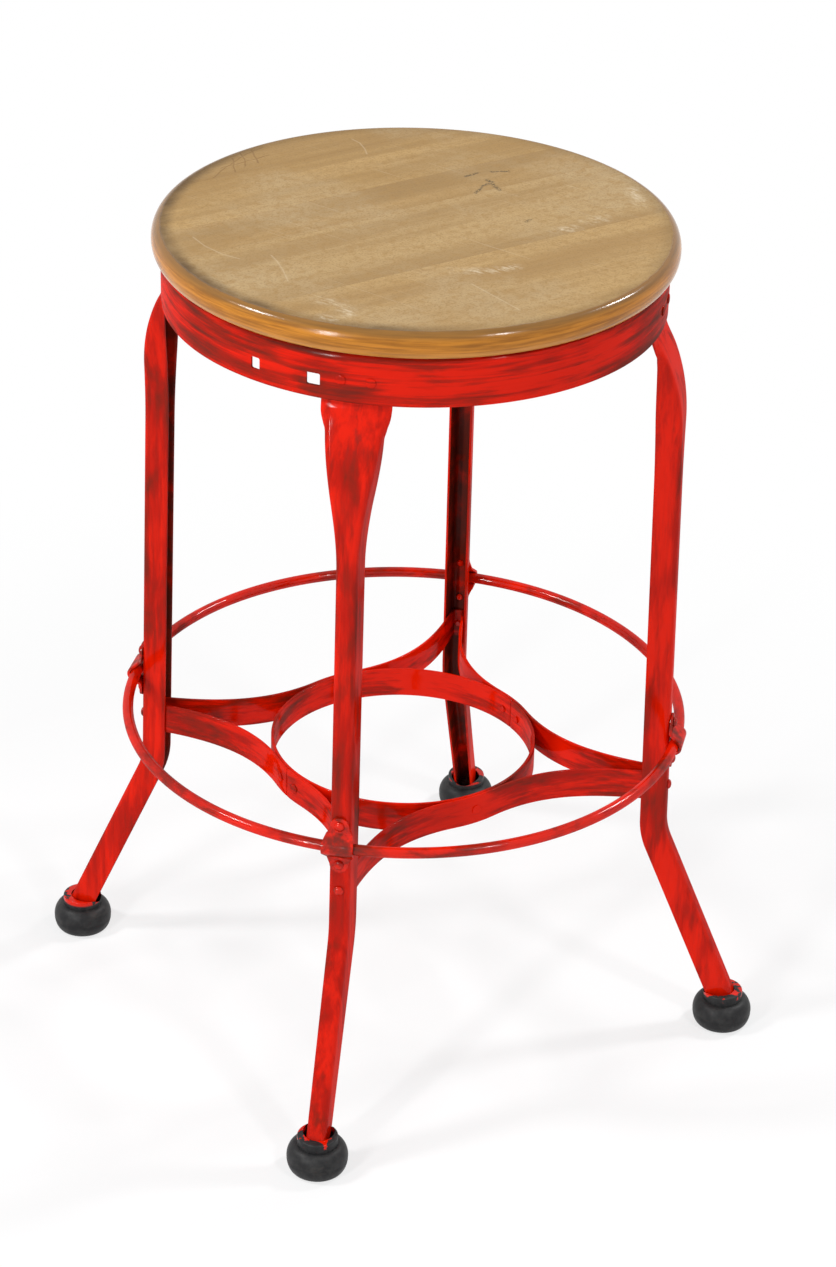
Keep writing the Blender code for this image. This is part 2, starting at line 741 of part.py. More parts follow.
washer_rim = SOCKET_RADIUS * math.cos(2 * QUARTER / FOOT_STEPS) - CLEARANCE
washer_profile = [
    (WASHER_HOLE / 2, WASHER_SHEET),
    (washer_rim, WASHER_SHEET),
    (washer_rim, 0),
    (WASHER_HOLE / 2, 0),
]
washer = turned("foot_washer", washer_profile, WASHER_STEPS, closed=True)
washer_mesh = baked(washer, plain_steel)
washer_place = shifted(foot_axis, 0, 0) @ up_leg @ shifted(0, 0, CLEARANCE)

# Legs with their clips, feet and rivets

leg = leg_mesh(head_rivets + clip_rivets + [brace_rivet])
clip = clip_mesh()
head_rivet = rivet_mesh("head_rivet", APRON_SHEET + CLEARANCE + LEG_SHEET, FLUSH_HEAD_HEIGHT)
clip_rivet = rivet_mesh("clip_rivet", CLIP_SHEET + CLEARANCE + LEG_SHEET, RIVET_HEAD_HEIGHT)
brace_grip = web_radius(BRACE_HEIGHT) - APEX_RADIUS + STRAP_SHEET
brace_rivet_mesh = rivet_mesh("brace_rivet", brace_grip, RIVET_HEAD_HEIGHT)
for side, angle in LEG_ANGLES.items():
    station = new_station(f"station_{side}", angle)
    place(f"leg_{side}", leg, station)
    place(f"ring_clip_{side}", clip, station, web_frame(RING_HEIGHT))
    place(f"rubber_foot_{side}", foot_mesh, station, shifted(foot_axis, 0, 0))
    place(f"foot_washer_{side}", washer_mesh, station, washer_place)
    place(f"brace_rivet_{side}", brace_rivet_mesh, station, brace_rivet)
    for number, where in enumerate(head_rivets, 1):
        place(f"apron_rivet_{side}_{number}", head_rivet, station, where)
    for number, where in enumerate(clip_rivets, 1):
        place(f"clip_rivet_{side}_{number}", clip_rivet, station, where)
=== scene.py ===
import math

import bmesh
import bpy
from mathutils import Matrix, Vector


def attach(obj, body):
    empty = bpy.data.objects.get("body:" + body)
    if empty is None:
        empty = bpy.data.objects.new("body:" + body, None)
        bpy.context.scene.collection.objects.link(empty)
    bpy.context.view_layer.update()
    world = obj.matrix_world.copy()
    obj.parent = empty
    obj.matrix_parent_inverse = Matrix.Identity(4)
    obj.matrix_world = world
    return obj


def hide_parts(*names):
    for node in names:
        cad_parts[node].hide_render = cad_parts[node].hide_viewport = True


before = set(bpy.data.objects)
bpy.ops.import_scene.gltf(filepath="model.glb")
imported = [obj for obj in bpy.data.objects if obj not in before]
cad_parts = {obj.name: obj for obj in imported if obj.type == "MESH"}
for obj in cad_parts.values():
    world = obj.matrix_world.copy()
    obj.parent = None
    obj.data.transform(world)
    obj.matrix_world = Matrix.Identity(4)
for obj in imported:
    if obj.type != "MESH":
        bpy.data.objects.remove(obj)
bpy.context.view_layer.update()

# Apron: a band rolled from sheet steel, with a turned-in flange that carries the seat.
# It is painted red by brush over a dark undercoat, so the streaks run round the band and the
# undercoat shows through them. Two square holes are punched left of the front leg.

QUARTER = math.radians(90)
SIDES = {"right": 0, "back": QUARTER, "left": 2 * QUARTER, "front": 3 * QUARTER}
APRON_RADIUS = 0.1717
APRON_TOP = 0.5877
APRON_BOTTOM = 0.5530
APRON_SHEET = 0.0016
APRON_SHOULDER = 0.0055
APRON_FACETS = 240
FLANGE_EDGE = 0.1507
SQUARE_HOLES = ((math.radians(-9.6), 0.0094), (math.radians(-24.1), 0.0069))
SQUARE_HOLE_HEIGHT = 0.0084
SQUARE_HOLE_CORNER = 0.0011
SQUARE_HOLE_Z = APRON_BOTTOM + 0.0129
PUNCH_LENGTH = 0.03
DRILL_LENGTH = 0.02
DRILL_FACETS = 32
RIVET_HOLE = 0.0023
HEAD_RIVET_PITCH = 0.020
HEAD_RIVET_Z = APRON_BOTTOM + 0.0155
FACING_OUT = Matrix.Rotation(QUARTER, 4, "Y")
SHARP_FOLD = math.radians(38)


def around(angle):
    return Matrix.Rotation(angle, 4, "Z")


def shifted(x, y, z):
    return Matrix.Translation((x, y, z))


def shares(count):
    return [i / count for i in range(count + 1)]


def arc(centre_r, centre_z, radius, start, end, steps):
    """(radius, height) points on an arc, from one angle to another in degrees."""
    angles = [math.radians(start + (end - start) * s) for s in shares(steps)]
    return [(centre_r + radius * math.cos(a), centre_z + radius * math.sin(a)) for a in angles]


def turned(profile, steps, closed=False):
    """Profile of (radius, height) points turned about Z."""
    work = bmesh.new()
    points = [work.verts.new((radius, 0, height)) for radius, height in profile]
    ends = points[1:] + points[:1] if closed else points[1:]
    edges = [work.edges.new(pair) for pair in zip(points, ends)]
    bmesh.ops.spin(
        work, geom=points + edges, axis=(0, 0, 1), cent=(0, 0, 0), steps=steps, angle=math.tau, use_merge=True
    )
    bmesh.ops.remove_doubles(work, verts=work.verts, dist=1e-7)
    bmesh.ops.recalc_face_normals(work, faces=work.faces)
    return work


def made(name, work, *finishes):
    mesh = bpy.data.meshes.new(name)
    work.to_mesh(mesh)
    work.free()
    piece = bpy.data.objects.new(name, mesh)
    bpy.context.scene.collection.objects.link(piece)
    for finish in finishes:
        mesh.materials.append(finish)
    return piece


def settled(piece):
    """Applies the piece's modifiers and shades it smooth up to a sharp fold."""
    graph = bpy.context.evaluated_depsgraph_get()
    mesh = bpy.data.meshes.new_from_object(piece.evaluated_get(graph))
    piece.modifiers.clear()
    piece.data = mesh
    mesh.shade_smooth()
    mesh.set_sharp_from_angle(angle=SHARP_FOLD)
    return piece


def cut(piece, work, operation="DIFFERENCE"):
    cutter = made("cutter", work)
    boolean = piece.modifiers.new("cut", "BOOLEAN")
    boolean.operation = operation
    boolean.object = cutter
    settled(piece)
    bpy.data.objects.remove(cutter, do_unlink=True)


def pins(places, radius, length=DRILL_LENGTH, facets=DRILL_FACETS):
    work = bmesh.new()
    for where in places:
        bmesh.ops.create_cone(
            work, cap_ends=True, segments=facets, radius1=radius, radius2=radius, depth=length, matrix=where
        )
    return work


def fit(piece, slot, *nodes):
    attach(piece, "root")
    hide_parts(*nodes)


def add(tree, kind, sockets=None, **settings):
    """New shader node; each socket takes a value or the output of another node."""
    node = tree.nodes.new("ShaderNode" + kind)
    for key, value in settings.items():
        setattr(node, key, value)
    for key, value in (sockets or {}).items():
        if isinstance(value, bpy.types.NodeSocket):
            tree.links.new(value, node.inputs[key])
        else:
            node.inputs[key].default_value = value
    return node


def noise(tree, where, scale, detail=4, roughness=0.55, distortion=0):
    """Noise stretched by a scale along each axis, in features a metre."""
    stretched = add(tree, "Mapping", {"Vector": where, "Scale": scale})
    sockets = {"Scale": 1, "Detail": detail, "Roughness": roughness, "Distortion": distortion}
    return add(tree, "TexNoise", {"Vector": stretched.outputs[0], **sockets}).outputs["Fac"]


def between(tree, value, low, high, start=0, end=1):
    """Value eased from start to end as it goes from low to high."""
    sockets = {"Value": value, "From Min": low, "From Max": high, "To Min": start, "To Max": end}
    return add(tree, "MapRange", sockets, interpolation_type="SMOOTHSTEP").outputs[0]


def combined(tree, operation, first, second):
    return add(tree, "Math", {0: first, 1: second}, operation=operation).outputs[0]


def mixed(tree, share, first, second):
    return add(tree, "Mix", {0: share, 6: first, 7: second}, data_type="RGBA").outputs[2]


def new_finish(name):
    finish = bpy.data.materials.new(name)
    finish.use_nodes = True
    return finish, finish.node_tree, finish.node_tree.nodes["Principled BSDF"]


BRIGHT_RED = (0.70, 0.011, 0.0006, 1)
FULL_RED = (0.42, 0.006, 0.0006, 1)
THIN_RED = (0.20, 0.012, 0.004, 1)
UNDERCOAT = (0.072, 0.015, 0.009, 1)
PAINT_IOR = 1.8
BRISTLE_FINENESS = 3.2
CLOUD_SCALE = 42
WORN_LEVEL = 2.04
FILM_RIPPLE = 0.0006
STROKE_RIDGE = 0.0015


def red_paint(name, brush, seed, bare, gloss, lumps):
    """Red with marks stretched by the brush, seeded by a shift of the pattern.

    bare sets how much undercoat shows, gloss the strength of the shine and lumps how uneven the paint lies.
    """
    finish, tree, shader = new_finish(name)
    where = add(tree, "TexCoord").outputs["Object"]
    where = add(tree, "Mapping", {"Vector": where, "Location": seed}).outputs[0]
    strokes = noise(tree, where, brush, 4, 0.55, 0.4)
    bristles = noise(tree, where, [BRISTLE_FINENESS * scale for scale in brush], 3, 0.6, 0.3)
    clouds = noise(tree, where, [math.sqrt(CLOUD_SCALE * scale) for scale in brush], 4, 0.55, 0.9)
    drifts = noise(tree, where, (13, 13, 13), 2, 0.5)
    ripples = noise(tree, where, (160, 160, 160), 3, 0.5)
    streaks = combined(tree, "ADD", strokes, combined(tree, "MULTIPLY", bristles, 0.6))
    worn = combined(tree, "ADD", combined(tree, "ADD", streaks, clouds), drifts)
    edge = WORN_LEVEL - 2 * bare
    thin = between(tree, worn, edge - 0.06, edge + 0.34, 0, 0.85)
    bared = between(tree, worn, edge + 0.20, edge + 0.56, 0, 0.75)
    full = between(tree, combined(tree, "ADD", streaks, drifts), 1.12, 1.46)
    red = mixed(tree, full, BRIGHT_RED, FULL_RED)
    red = mixed(tree, thin, red, THIN_RED)
    tree.links.new(mixed(tree, bared, red, UNDERCOAT), shader.inputs["Base Color"])
    tree.links.new(between(tree, worn, 1.6, 2.2, 0.06, 0.22), shader.inputs["Coat Roughness"])
    shader.inputs["Specular IOR Level"].default_value = 0
    shader.inputs["Coat Weight"].default_value = gloss
    shader.inputs["Coat IOR"].default_value = PAINT_IOR
    film = add(tree, "Bump", {"Strength": lumps, "Distance": FILM_RIPPLE, "Height": ripples}).outputs[0]
    relief = {"Strength": 0.12, "Distance": STROKE_RIDGE, "Height": strokes, "Normal": film}
    relief = add(tree, "Bump", relief).outputs[0]
    tree.links.new(relief, shader.inputs["Normal"])
    tree.links.new(relief, shader.inputs["Coat Normal"])
    return finish


head_rivet_places = {}
for side, angle in SIDES.items():
    for number, across in enumerate((-1, 1), 1):
        turn = angle + across * HEAD_RIVET_PITCH / 2 / APRON_RADIUS
        head_rivet_places[side, number] = around(turn) @ shifted(APRON_RADIUS, 0, HEAD_RIVET_Z) @ FACING_OUT
shoulder_r = APRON_RADIUS - APRON_SHOULDER
shoulder_z = APRON_TOP - APRON_SHOULDER
lip = APRON_SHEET / 2
apron_profile = [(FLANGE_EDGE, APRON_TOP)]
apron_profile += arc(shoulder_r, shoulder_z, APRON_SHOULDER, 90, 0, 10)
apron_profile += arc(APRON_RADIUS - lip, APRON_BOTTOM + lip, lip, 0, -180, 8)
apron_profile += arc(shoulder_r, shoulder_z, APRON_SHOULDER - APRON_SHEET, 0, 90, 8)
apron_profile.append((FLANGE_EDGE, APRON_TOP - APRON_SHEET))
apron_paint = red_paint(
    "apron_paint", brush=(7, 7, 130), seed=(0.3, 0.1, 0.0), bare=0.185, gloss=0.11, lumps=0.12
)
apron = made("rolled_apron", turned(apron_profile, APRON_FACETS, closed=True), apron_paint)
punches = bmesh.new()
for angle, width in SQUARE_HOLES:
    spot = around(SIDES["front"] + angle) @ shifted(APRON_RADIUS, 0, SQUARE_HOLE_Z)
    size = Matrix.Diagonal((PUNCH_LENGTH, width, SQUARE_HOLE_HEIGHT, 1))
    punch = bmesh.ops.create_cube(punches, matrix=spot @ size)
    edges = {edge for vert in punch["verts"] for edge in vert.link_edges}
    deep = [edge for edge in edges if edge.calc_length() > PUNCH_LENGTH / 2]
    bmesh.ops.bevel(punches, geom=deep, offset=SQUARE_HOLE_CORNER, segments=4, affect="EDGES", profile=0.5)
cut(apron, punches)
cut(apron, pins(head_rivet_places.values(), RIVET_HOLE))
fit(apron, "red_paint", "apron")

# Legs: each is one strip of sheet steel, flat where it is riveted inside the apron. Below, its web narrows
# and its walls fold back to a channel open to the middle, set out at the shoulder and splayed at the knee.
# Red paint outside with vertical brush marks; the inside of the channel got thin paint and is painted darker
# still, as painted shade in its hollow.

CLEARANCE = 0.0003
LEG_SHEET = 0.0017
LEG_HEAD = 0.047
LEG_WEB = 0.0065
LEG_WALL = 0.0144
HEAD_WALL = 0.0015
LEG_CORNER = 0.004
LEG_FOLD = math.radians(84)
LEG_FOOT_FOLD = math.radians(90)
LEG_FLARE = 0.118
FOLD_START = 0.002
FOLD_RUN = 0.020
HEAD_RADIUS = APRON_RADIUS - APRON_SHEET - CLEARANCE
HEAD_DROP = 0.0005
HEAD_TOP = APRON_TOP - APRON_SHOULDER - HEAD_DROP
SHOULDER_ANGLE = math.radians(30)
SHOULDER_BEND = 0.010
KNEE_HEIGHT = 0.160
KNEE_SET_OUT = 0.0238
KNEE_RADIUS = APRON_RADIUS + KNEE_SET_OUT
KNEE_BEND = 0.045
LEG_LEAN = math.radians(1.1)
LEG_SPLAY = math.radians(23.5)
FOOT_SOLE = 0.0062
WASHER_STACK = 0.0021
SHEET_EDGE = 0.0005
ROUNDED_FROM = math.radians(50)
WEB_STEPS = 3
CORNER_STEPS = 8
WALL_STEPS = 6
HEAD_STEPS = 4
SHOULDER_STEPS = 8
FLARE_STEPS = 48
FLARE_CROWDING = 1.3
SHANK_STEPS = 24
KNEE_STEPS = 12
SPLAY_STEPS = 12
FOLDED_CORNER = LEG_CORNER * LEG_FOLD
HEAD_WEB = LEG_HEAD - 2 * (FOLDED_CORNER + HEAD_WALL)


def along(moves, start, distance):
    """Radius, height and heading after a distance; each move is a length and an outward turn."""
    radius, height = start
    heading = 0
    left = distance
    for length, turn in moves:
        step = min(left, length)
        angle = turn * step / length
        if turn:
            bend = length / turn
            radius += bend * (math.cos(heading) - math.cos(heading + angle))
            height -= bend * (math.sin(heading + angle) - math.sin(heading))
        else:
            radius += step * math.sin(heading)
            height -= step * math.cos(heading)
        heading += angle
        left -= step
        if left <= 0:
            break
    return radius, height, heading


def folded(fold, web=LEG_WEB, wall=LEG_WALL):
    """Outer face of the sheet as (across, depth), from edge to edge."""
    steps = [(web / 2 / WEB_STEPS, 0)] * WEB_STEPS
    steps += [(FOLDED_CORNER / CORNER_STEPS, fold / CORNER_STEPS)] * CORNER_STEPS
    steps += [(wall / WALL_STEPS, 0)] * WALL_STEPS
    across = depth = angle = 0
    half = []
    for length, turn in steps:
        across += length * math.cos(angle + turn / 2)
        depth += length * math.sin(angle + turn / 2)
        angle += turn
        half.append((across, depth))
    return [(-a, d) for a, d in reversed(half)] + [(0, 0)] + half


def share_of(distance, start, run):
    return min(1, max(0, (distance - start) / run))


def eased(share):
    return share * share * (3 - 2 * share)


def round_fit(section):
    """Depth of the centre and radius of the smallest circle round a section even about its middle."""
    low = 0
    high = max(depth for _, depth in section)

    def reach(centre):
        return max(math.hypot(across, depth - centre) for across, depth in section)

    while high - low > 1e-7:
        third = (high - low) / 3
        if reach(low + third) < reach(high - third):
            high -= third
        else:
            low += third
    return low, reach(low)


CHANNEL_CENTRE, CHANNEL_REACH = round_fit(folded(LEG_FOOT_FOLD))
SOCKET_RADIUS = CHANNEL_REACH + CLEARANCE
SOCKET_FLOOR = FOOT_SOLE + SOCKET_RADIUS * math.sin(LEG_SPLAY)
LEG_END = SOCKET_FLOOR + WASHER_STACK * math.cos(LEG_SPLAY) + CHANNEL_CENTRE * math.sin(LEG_SPLAY)


def web_radius(height):
    """Radius of the web's outer face on the straight shank."""
    return KNEE_RADIUS + (KNEE_HEIGHT - height) * math.tan(LEG_LEAN)


def web_frame(height):
    """Frame on the shank's outer face: X down the web, Y across it, Z outward."""
    return shifted(web_radius(height), 0, height) @ Matrix.Rotation(QUARTER - LEG_LEAN, 4, "Y")


def lofted(rows):
    work = bmesh.new()
    grid = [[work.verts.new(point) for point in row] for row in rows]
    for upper, lower in zip(grid, grid[1:]):
        for i in range(len(upper) - 1):
            work.faces.new((upper[i], lower[i], lower[i + 1], upper[i + 1]))
    return work


def sheet_metal(piece, thickness, offset, inner=0):
    """Gives the surface its thickness and eases its edges; inner is the finish of its back."""
    solidify = piece.modifiers.new("sheet", "SOLIDIFY")
    solidify.thickness = thickness
    solidify.offset = offset
    solidify.use_even_offset = True
    solidify.material_offset = inner
    bevel = piece.modifiers.new("edges", "BEVEL")
    bevel.width = SHEET_EDGE
    bevel.segments = 3
    bevel.limit_method = "ANGLE"
    bevel.angle_limit = ROUNDED_FROM
    return settled(piece)


shoulder_out_r = HEAD_RADIUS + SHOULDER_BEND * (1 - math.cos(SHOULDER_ANGLE))
shoulder_out_z = APRON_BOTTOM - SHOULDER_BEND * math.sin(SHOULDER_ANGLE)
rise = math.cos(LEG_LEAN) - math.cos(SHOULDER_ANGLE)
fall = math.sin(SHOULDER_ANGLE) - math.sin(LEG_LEAN)
back_bend = (web_radius(shoulder_out_z) - shoulder_out_r) / (rise - fall * math.tan(LEG_LEAN))
shank_top = shoulder_out_z - back_bend * fall
knee_turn = LEG_SPLAY - LEG_LEAN
tangent = KNEE_BEND * math.tan(knee_turn / 2)
leg_moves = [
    (HEAD_TOP - APRON_BOTTOM, 0),
    (SHOULDER_BEND * SHOULDER_ANGLE, SHOULDER_ANGLE),
    (back_bend * (SHOULDER_ANGLE - LEG_LEAN), LEG_LEAN - SHOULDER_ANGLE),
    ((shank_top - KNEE_HEIGHT) / math.cos(LEG_LEAN) - tangent, 0),
    (KNEE_BEND * knee_turn, knee_turn),
    ((KNEE_HEIGHT - LEG_END) / math.cos(LEG_SPLAY) - tangent, 0),
]
lengths = [length for length, _ in leg_moves]
head_end, shoulder_run, _, _, knee_run, splay_run = lengths
shoulder_end = head_end + shoulder_run
flare_end = head_end + LEG_FLARE
knee_start = sum(lengths[:4])
knee_end = knee_start + knee_run
leg_length = sum(lengths)
stations = [head_end * s for s in shares(HEAD_STEPS)]
stations += [head_end + shoulder_run * s for s in shares(SHOULDER_STEPS)[1:]]
flare_shares = [s**FLARE_CROWDING for s in shares(FLARE_STEPS)[1:]]
stations += [shoulder_end + (flare_end - shoulder_end) * s for s in flare_shares]
stations += [flare_end + (knee_start - flare_end) * s for s in shares(SHANK_STEPS)[1:]]
stations += [knee_start + knee_run * s for s in shares(KNEE_STEPS)[1:]]
stations += [knee_end + splay_run * s for s in shares(SPLAY_STEPS)[1:]]
leg_rows = []
for station in stations:
    radius, height, heading = along(leg_moves, (HEAD_RADIUS, HEAD_TOP), station)
    below = station - head_end
    folding = eased(share_of(below, FOLD_START, FOLD_RUN))
    narrowing = eased(share_of(below, 0, LEG_FLARE))
    set_in = web_radius(height) - radius
    closing = share_of(station, knee_start, leg_length - knee_start)
    fold = LEG_FOLD * folding + (LEG_FOOT_FOLD - LEG_FOLD) * closing
    web = HEAD_WEB + (LEG_WEB - HEAD_WEB) * narrowing
    wall = min(LEG_WALL, max(HEAD_WALL, LEG_WALL - set_in))
    row = []
    for across, depth in folded(fold, web, wall):
        inward = depth + (HEAD_RADIUS - math.sqrt(HEAD_RADIUS**2 - across**2)) * (1 - folding)
        row.append((radius - inward * math.cos(heading), across, height - inward * math.sin(heading)))
    leg_rows.append(row)

RING_HEIGHT = 0.2333
BRACE_HEIGHT = 0.1964
CLIP_SHEET = 0.0018
CLIP_RIVET_PITCH = 0.030
clip_rivet_places = [
    web_frame(RING_HEIGHT) @ shifted(end * CLIP_RIVET_PITCH / 2, 0, CLIP_SHEET + CLEARANCE) for end in (-1, 1)
]
brace_rivet_place = web_frame(BRACE_HEIGHT)
leg_paint = red_paint(
    "leg_paint", brush=(75, 75, 8), seed=(0.0, 1.3, 0.2), bare=0.075, gloss=0.12, lumps=0.14
)
# The channel's inside shows much more undercoat: partly thin paint, partly painted shade for the hollow of
# the channel.
inner_paint_and_shade = red_paint(
    "inner_paint_and_shade", brush=(30, 30, 30), seed=(2.1, 0.7, 0.4), bare=0.32, gloss=0.07, lumps=0.12
)
for side, angle in SIDES.items():
    leg = made(f"pressed_leg_{side}", lofted(leg_rows), leg_paint, inner_paint_and_shade)
    leg.data.transform(around(angle))
    sheet_metal(leg, LEG_SHEET, -1, inner=1)
    holes = [around(angle) @ where for where in clip_rivet_places + [brace_rivet_place]]
    cut(leg, pins([*holes, *head_rivet_places.values()], RIVET_HOLE))
    fit(leg, "red_paint", f"leg_{side}")

# Apron rivets: two to each leg, with low heads set nearly flush and painted over with the band.
# Steel, hammered over on the inside of the leg's flat head.

RIVET_HEAD = 0.0035
RIVET_SHANK = 0.0020
RIVET_TAIL = 0.0026
TAIL_HEIGHT = 0.0014
FLUSH_HEAD = 0.0010
HEAD_LIFT = 0.0001
HEAD_RIM = 0.0003
RIM_CHAMFER = 0.0002
TAIL_CHAMFER = 0.0003
TAIL_ROUND = 0.0007
RIVET_FACETS = 32


def riveted(name, place, grip, head_height, finish):
    """Rivet along the place's Z, its head seated on the sheet and its tail upset past the grip."""
    foot = -grip - HEAD_LIFT
    dome = head_height - HEAD_RIM
    profile = [(0, HEAD_LIFT + head_height)]
    profile += [
        (RIVET_HEAD * math.sin(a), HEAD_LIFT + HEAD_RIM + dome * math.cos(a))
        for a in [QUARTER * s for s in shares(10)[1:]]
    ]
    profile += [
        (RIVET_HEAD - RIM_CHAMFER, HEAD_LIFT),
        (RIVET_SHANK, HEAD_LIFT),
        (RIVET_SHANK, foot),
        (RIVET_TAIL - TAIL_CHAMFER, foot),
        (RIVET_TAIL, foot - TAIL_CHAMFER),
        (RIVET_TAIL, foot - TAIL_HEIGHT / 2),
        (RIVET_TAIL - TAIL_ROUND, foot - TAIL_HEIGHT),
        (0, foot - TAIL_HEIGHT),
    ]
    rivet = made(name, turned(profile, RIVET_FACETS), finish)
    rivet.data.transform(place)
    return settled(rivet)


head_grip = APRON_SHEET + CLEARANCE + LEG_SHEET
for (side, number), place in head_rivet_places.items():
    rivet = riveted(f"head_rivet_{side}_{number}", place, head_grip, FLUSH_HEAD, apron_paint)
    fit(rivet, "red_paint", f"apron_rivet_{side}_{number}")

# Brace strap: one strap on edge, folded into each leg's channel, bowed in to the middle and closed by a butt
# seam. Steel, painted red by brush along the strap, and riveted to the legs and to the ring in the middle.

STRAP_SHEET = 0.002
STRAP_HEIGHT = 0.0225
STRAP_BEND = 0.0022
STRAP_BOW = 0.38
STRAP_SEAM = 0.0006
BRACE_RING_RADIUS = 0.0955
APEX_RADIUS = web_radius(BRACE_HEIGHT + STRAP_HEIGHT / 2) - LEG_SHEET / math.cos(LEG_LEAN) - CLEARANCE
HUG_RADIUS = BRACE_RING_RADIUS + CLEARANCE + STRAP_SHEET / 2
HUG_LENGTH = 0.016
HUG_ANGLE = HUG_LENGTH / HUG_RADIUS
SEAM_RIVET_OFFSET = 0.0095
SEAM_RIVET_ANGLE = SEAM_RIVET_OFFSET / HUG_RADIUS
MIDWAY = QUARTER / 2
BOW_STEPS = 24
STRAP_SEAM_AT = SIDES["front"] - MIDWAY
RING_SEAM_AT = SIDES["right"] + MIDWAY
CHANNEL_DEPTH = max(depth for _, depth in folded(LEG_FOLD))


def polar(radius, angle):
    return (radius * math.cos(angle), radius * math.sin(angle))


def strap_eighth():
    """Middle line of the strap in plan, from a leg on +X out to the ring midway to the next leg."""
    middle = APEX_RADIUS - STRAP_SHEET / 2
    outside = STRAP_BEND + STRAP_SHEET / 2
    slack = LEG_CORNER - LEG_SHEET - CLEARANCE - outside
    fold_depth = LEG_SHEET + CLEARANCE + outside
    flat = LEG_WEB / 2 + (slack - (LEG_CORNER - fold_depth) * math.cos(LEG_FOLD)) / math.sin(LEG_FOLD)
    points = [
        (middle - STRAP_BEND * (1 - math.cos(a)), flat + STRAP_BEND * math.sin(a))
        for a in [LEG_FOLD * s for s in shares(8)]
    ]
    arm = Vector((-math.sin(LEG_FOLD), math.cos(LEG_FOLD)))
    mouth = APEX_RADIUS + LEG_SHEET - CHANNEL_DEPTH - STRAP_SHEET
    start = Vector(points[-1])
    start += arm * ((start.x - mouth) / -arm.x)
    leave = MIDWAY - HUG_ANGLE
    end = Vector(polar(HUG_RADIUS, leave))
    handle = (end - start).length * STRAP_BOW
    into_ring = Vector(polar(1, leave + QUARTER))
    first = start + arm * handle
    last = end - into_ring * handle
    for s in shares(BOW_STEPS):
        spot = start * (1 - s) ** 3 + first * 3 * s * (1 - s) ** 2 + last * 3 * s**2 * (1 - s) + end * s**3
        points.append(tuple(spot))
    return points + [polar(HUG_RADIUS, leave + HUG_ANGLE * s) for s in shares(5)[1:]]


def strap_on_edge(name, path):
    bottom = BRACE_HEIGHT - STRAP_HEIGHT / 2
    rows = [[(x, y, bottom + STRAP_HEIGHT * s) for s in shares(4)] for x, y in path]
    return sheet_metal(made(name, lofted(rows), strap_paint), STRAP_SHEET, 0)


strap_paint = red_paint(
    "strap_paint", brush=(16, 16, 110), seed=(1.7, 0.2, 0.9), bare=0.115, gloss=0.12, lumps=0.12
)
eighth = strap_eighth()
quarter = [(x, -y) for x, y in reversed(eighth)] + eighth
strap_path = []
for side in ("front", "right", "back", "left"):
    turn = Matrix.Rotation(SIDES[side], 2)
    strap_path += [tuple(turn @ Vector(point)) for point in quarter[:-1]]
half_seam = STRAP_SEAM / 2 / HUG_RADIUS
strap_path[0] = polar(HUG_RADIUS, STRAP_SEAM_AT + half_seam)
strap_path.append(polar(HUG_RADIUS, STRAP_SEAM_AT - half_seam))
joint_angles = []
for angle in SIDES.values():
    at = angle + MIDWAY
    seamed = any(abs(at - seam) < HUG_ANGLE for seam in (STRAP_SEAM_AT, RING_SEAM_AT))
    joint_angles += [at - SEAM_RIVET_ANGLE, at + SEAM_RIVET_ANGLE] if seamed else [at]
strap_outside = shifted(HUG_RADIUS + STRAP_SHEET / 2, 0, BRACE_HEIGHT) @ FACING_OUT
joint_places = [around(angle) @ strap_outside for angle in joint_angles]
apex_places = [around(angle) @ brace_rivet_place for angle in SIDES.values()]
brace_strap = strap_on_edge("bowed_strap", strap_path)
cut(brace_strap, pins(joint_places + apex_places, RIVET_HOLE))
fit(brace_strap, "red_paint", "brace_strap")

# Brace ring: a ring rolled from the same strap, inside the four bows, with a butt seam of its own.
# Steel, painted together with the strap.

BRACE_RING_FACETS = 180
ring_radius = BRACE_RING_RADIUS - STRAP_SHEET / 2
half_seam = STRAP_SEAM / 2 / ring_radius
sweep = math.tau - 2 * half_seam
ring_path = [polar(ring_radius, RING_SEAM_AT + half_seam + sweep * s) for s in shares(BRACE_RING_FACETS)]
brace_ring = strap_on_edge("strap_ring", ring_path)
cut(brace_ring, pins(joint_places, RIVET_HOLE))
fit(brace_ring, "red_paint", "brace_ring")

# Brace rivets: nearly flush ones join the strap and the ring, one each side of a seam, and a domed one holds
# the strap in each leg. Steel, painted red, thicker on the domes.

DOMED_HEAD = 0.0024
fitting_paint = red_paint(
    "fitting_paint", brush=(90, 90, 90), seed=(0.7, 0.4, 1.9), bare=0.17, gloss=0.26, lumps=0.45
)
joint_grip = 2 * STRAP_SHEET + CLEARANCE
for number, place in enumerate(joint_places, 1):
    rivet = riveted(f"strap_rivet_{number}", place, joint_grip, FLUSH_HEAD, strap_paint)
    fit(rivet, "red_paint", f"brace_ring_rivet_{number}")
apex_grip = web_radius(BRACE_HEIGHT) - APEX_RADIUS + STRAP_SHEET
for side, place in zip(SIDES, apex_places):
    rivet = riveted(f"apex_rivet_{side}", place, apex_grip, DOMED_HEAD, fitting_paint)
    fit(rivet, "red_paint", f"brace_rivet_{side}")

# Foot ring: round steel rod rolled to a ring that runs round the outside of the legs.
# Red paint, thin and streaky along the rod and worn darker where shoes rest.

RING_ROD = 0.0077
ROD_FACETS = 24
RING_FACETS = 288
RING_RADIUS = web_radius(RING_HEIGHT) + (CLEARANCE + RING_ROD / 2) / math.cos(LEG_LEAN)
rod_paint = red_paint(
    "rod_paint", brush=(24, 24, 90), seed=(0.9, 2.3, 0.1), bare=0.13, gloss=0.25, lumps=0.25
)
rod_profile = arc(RING_RADIUS, 0, RING_ROD / 2, 0, 360, ROD_FACETS)[:-1]
foot_ring = made("rod_ring", turned(rod_profile, RING_FACETS, closed=True), rod_paint)
foot_ring.data.transform(shifted(0, 0, RING_HEIGHT))
settled(foot_ring)
fit(foot_ring, "red_paint", "foot_ring")

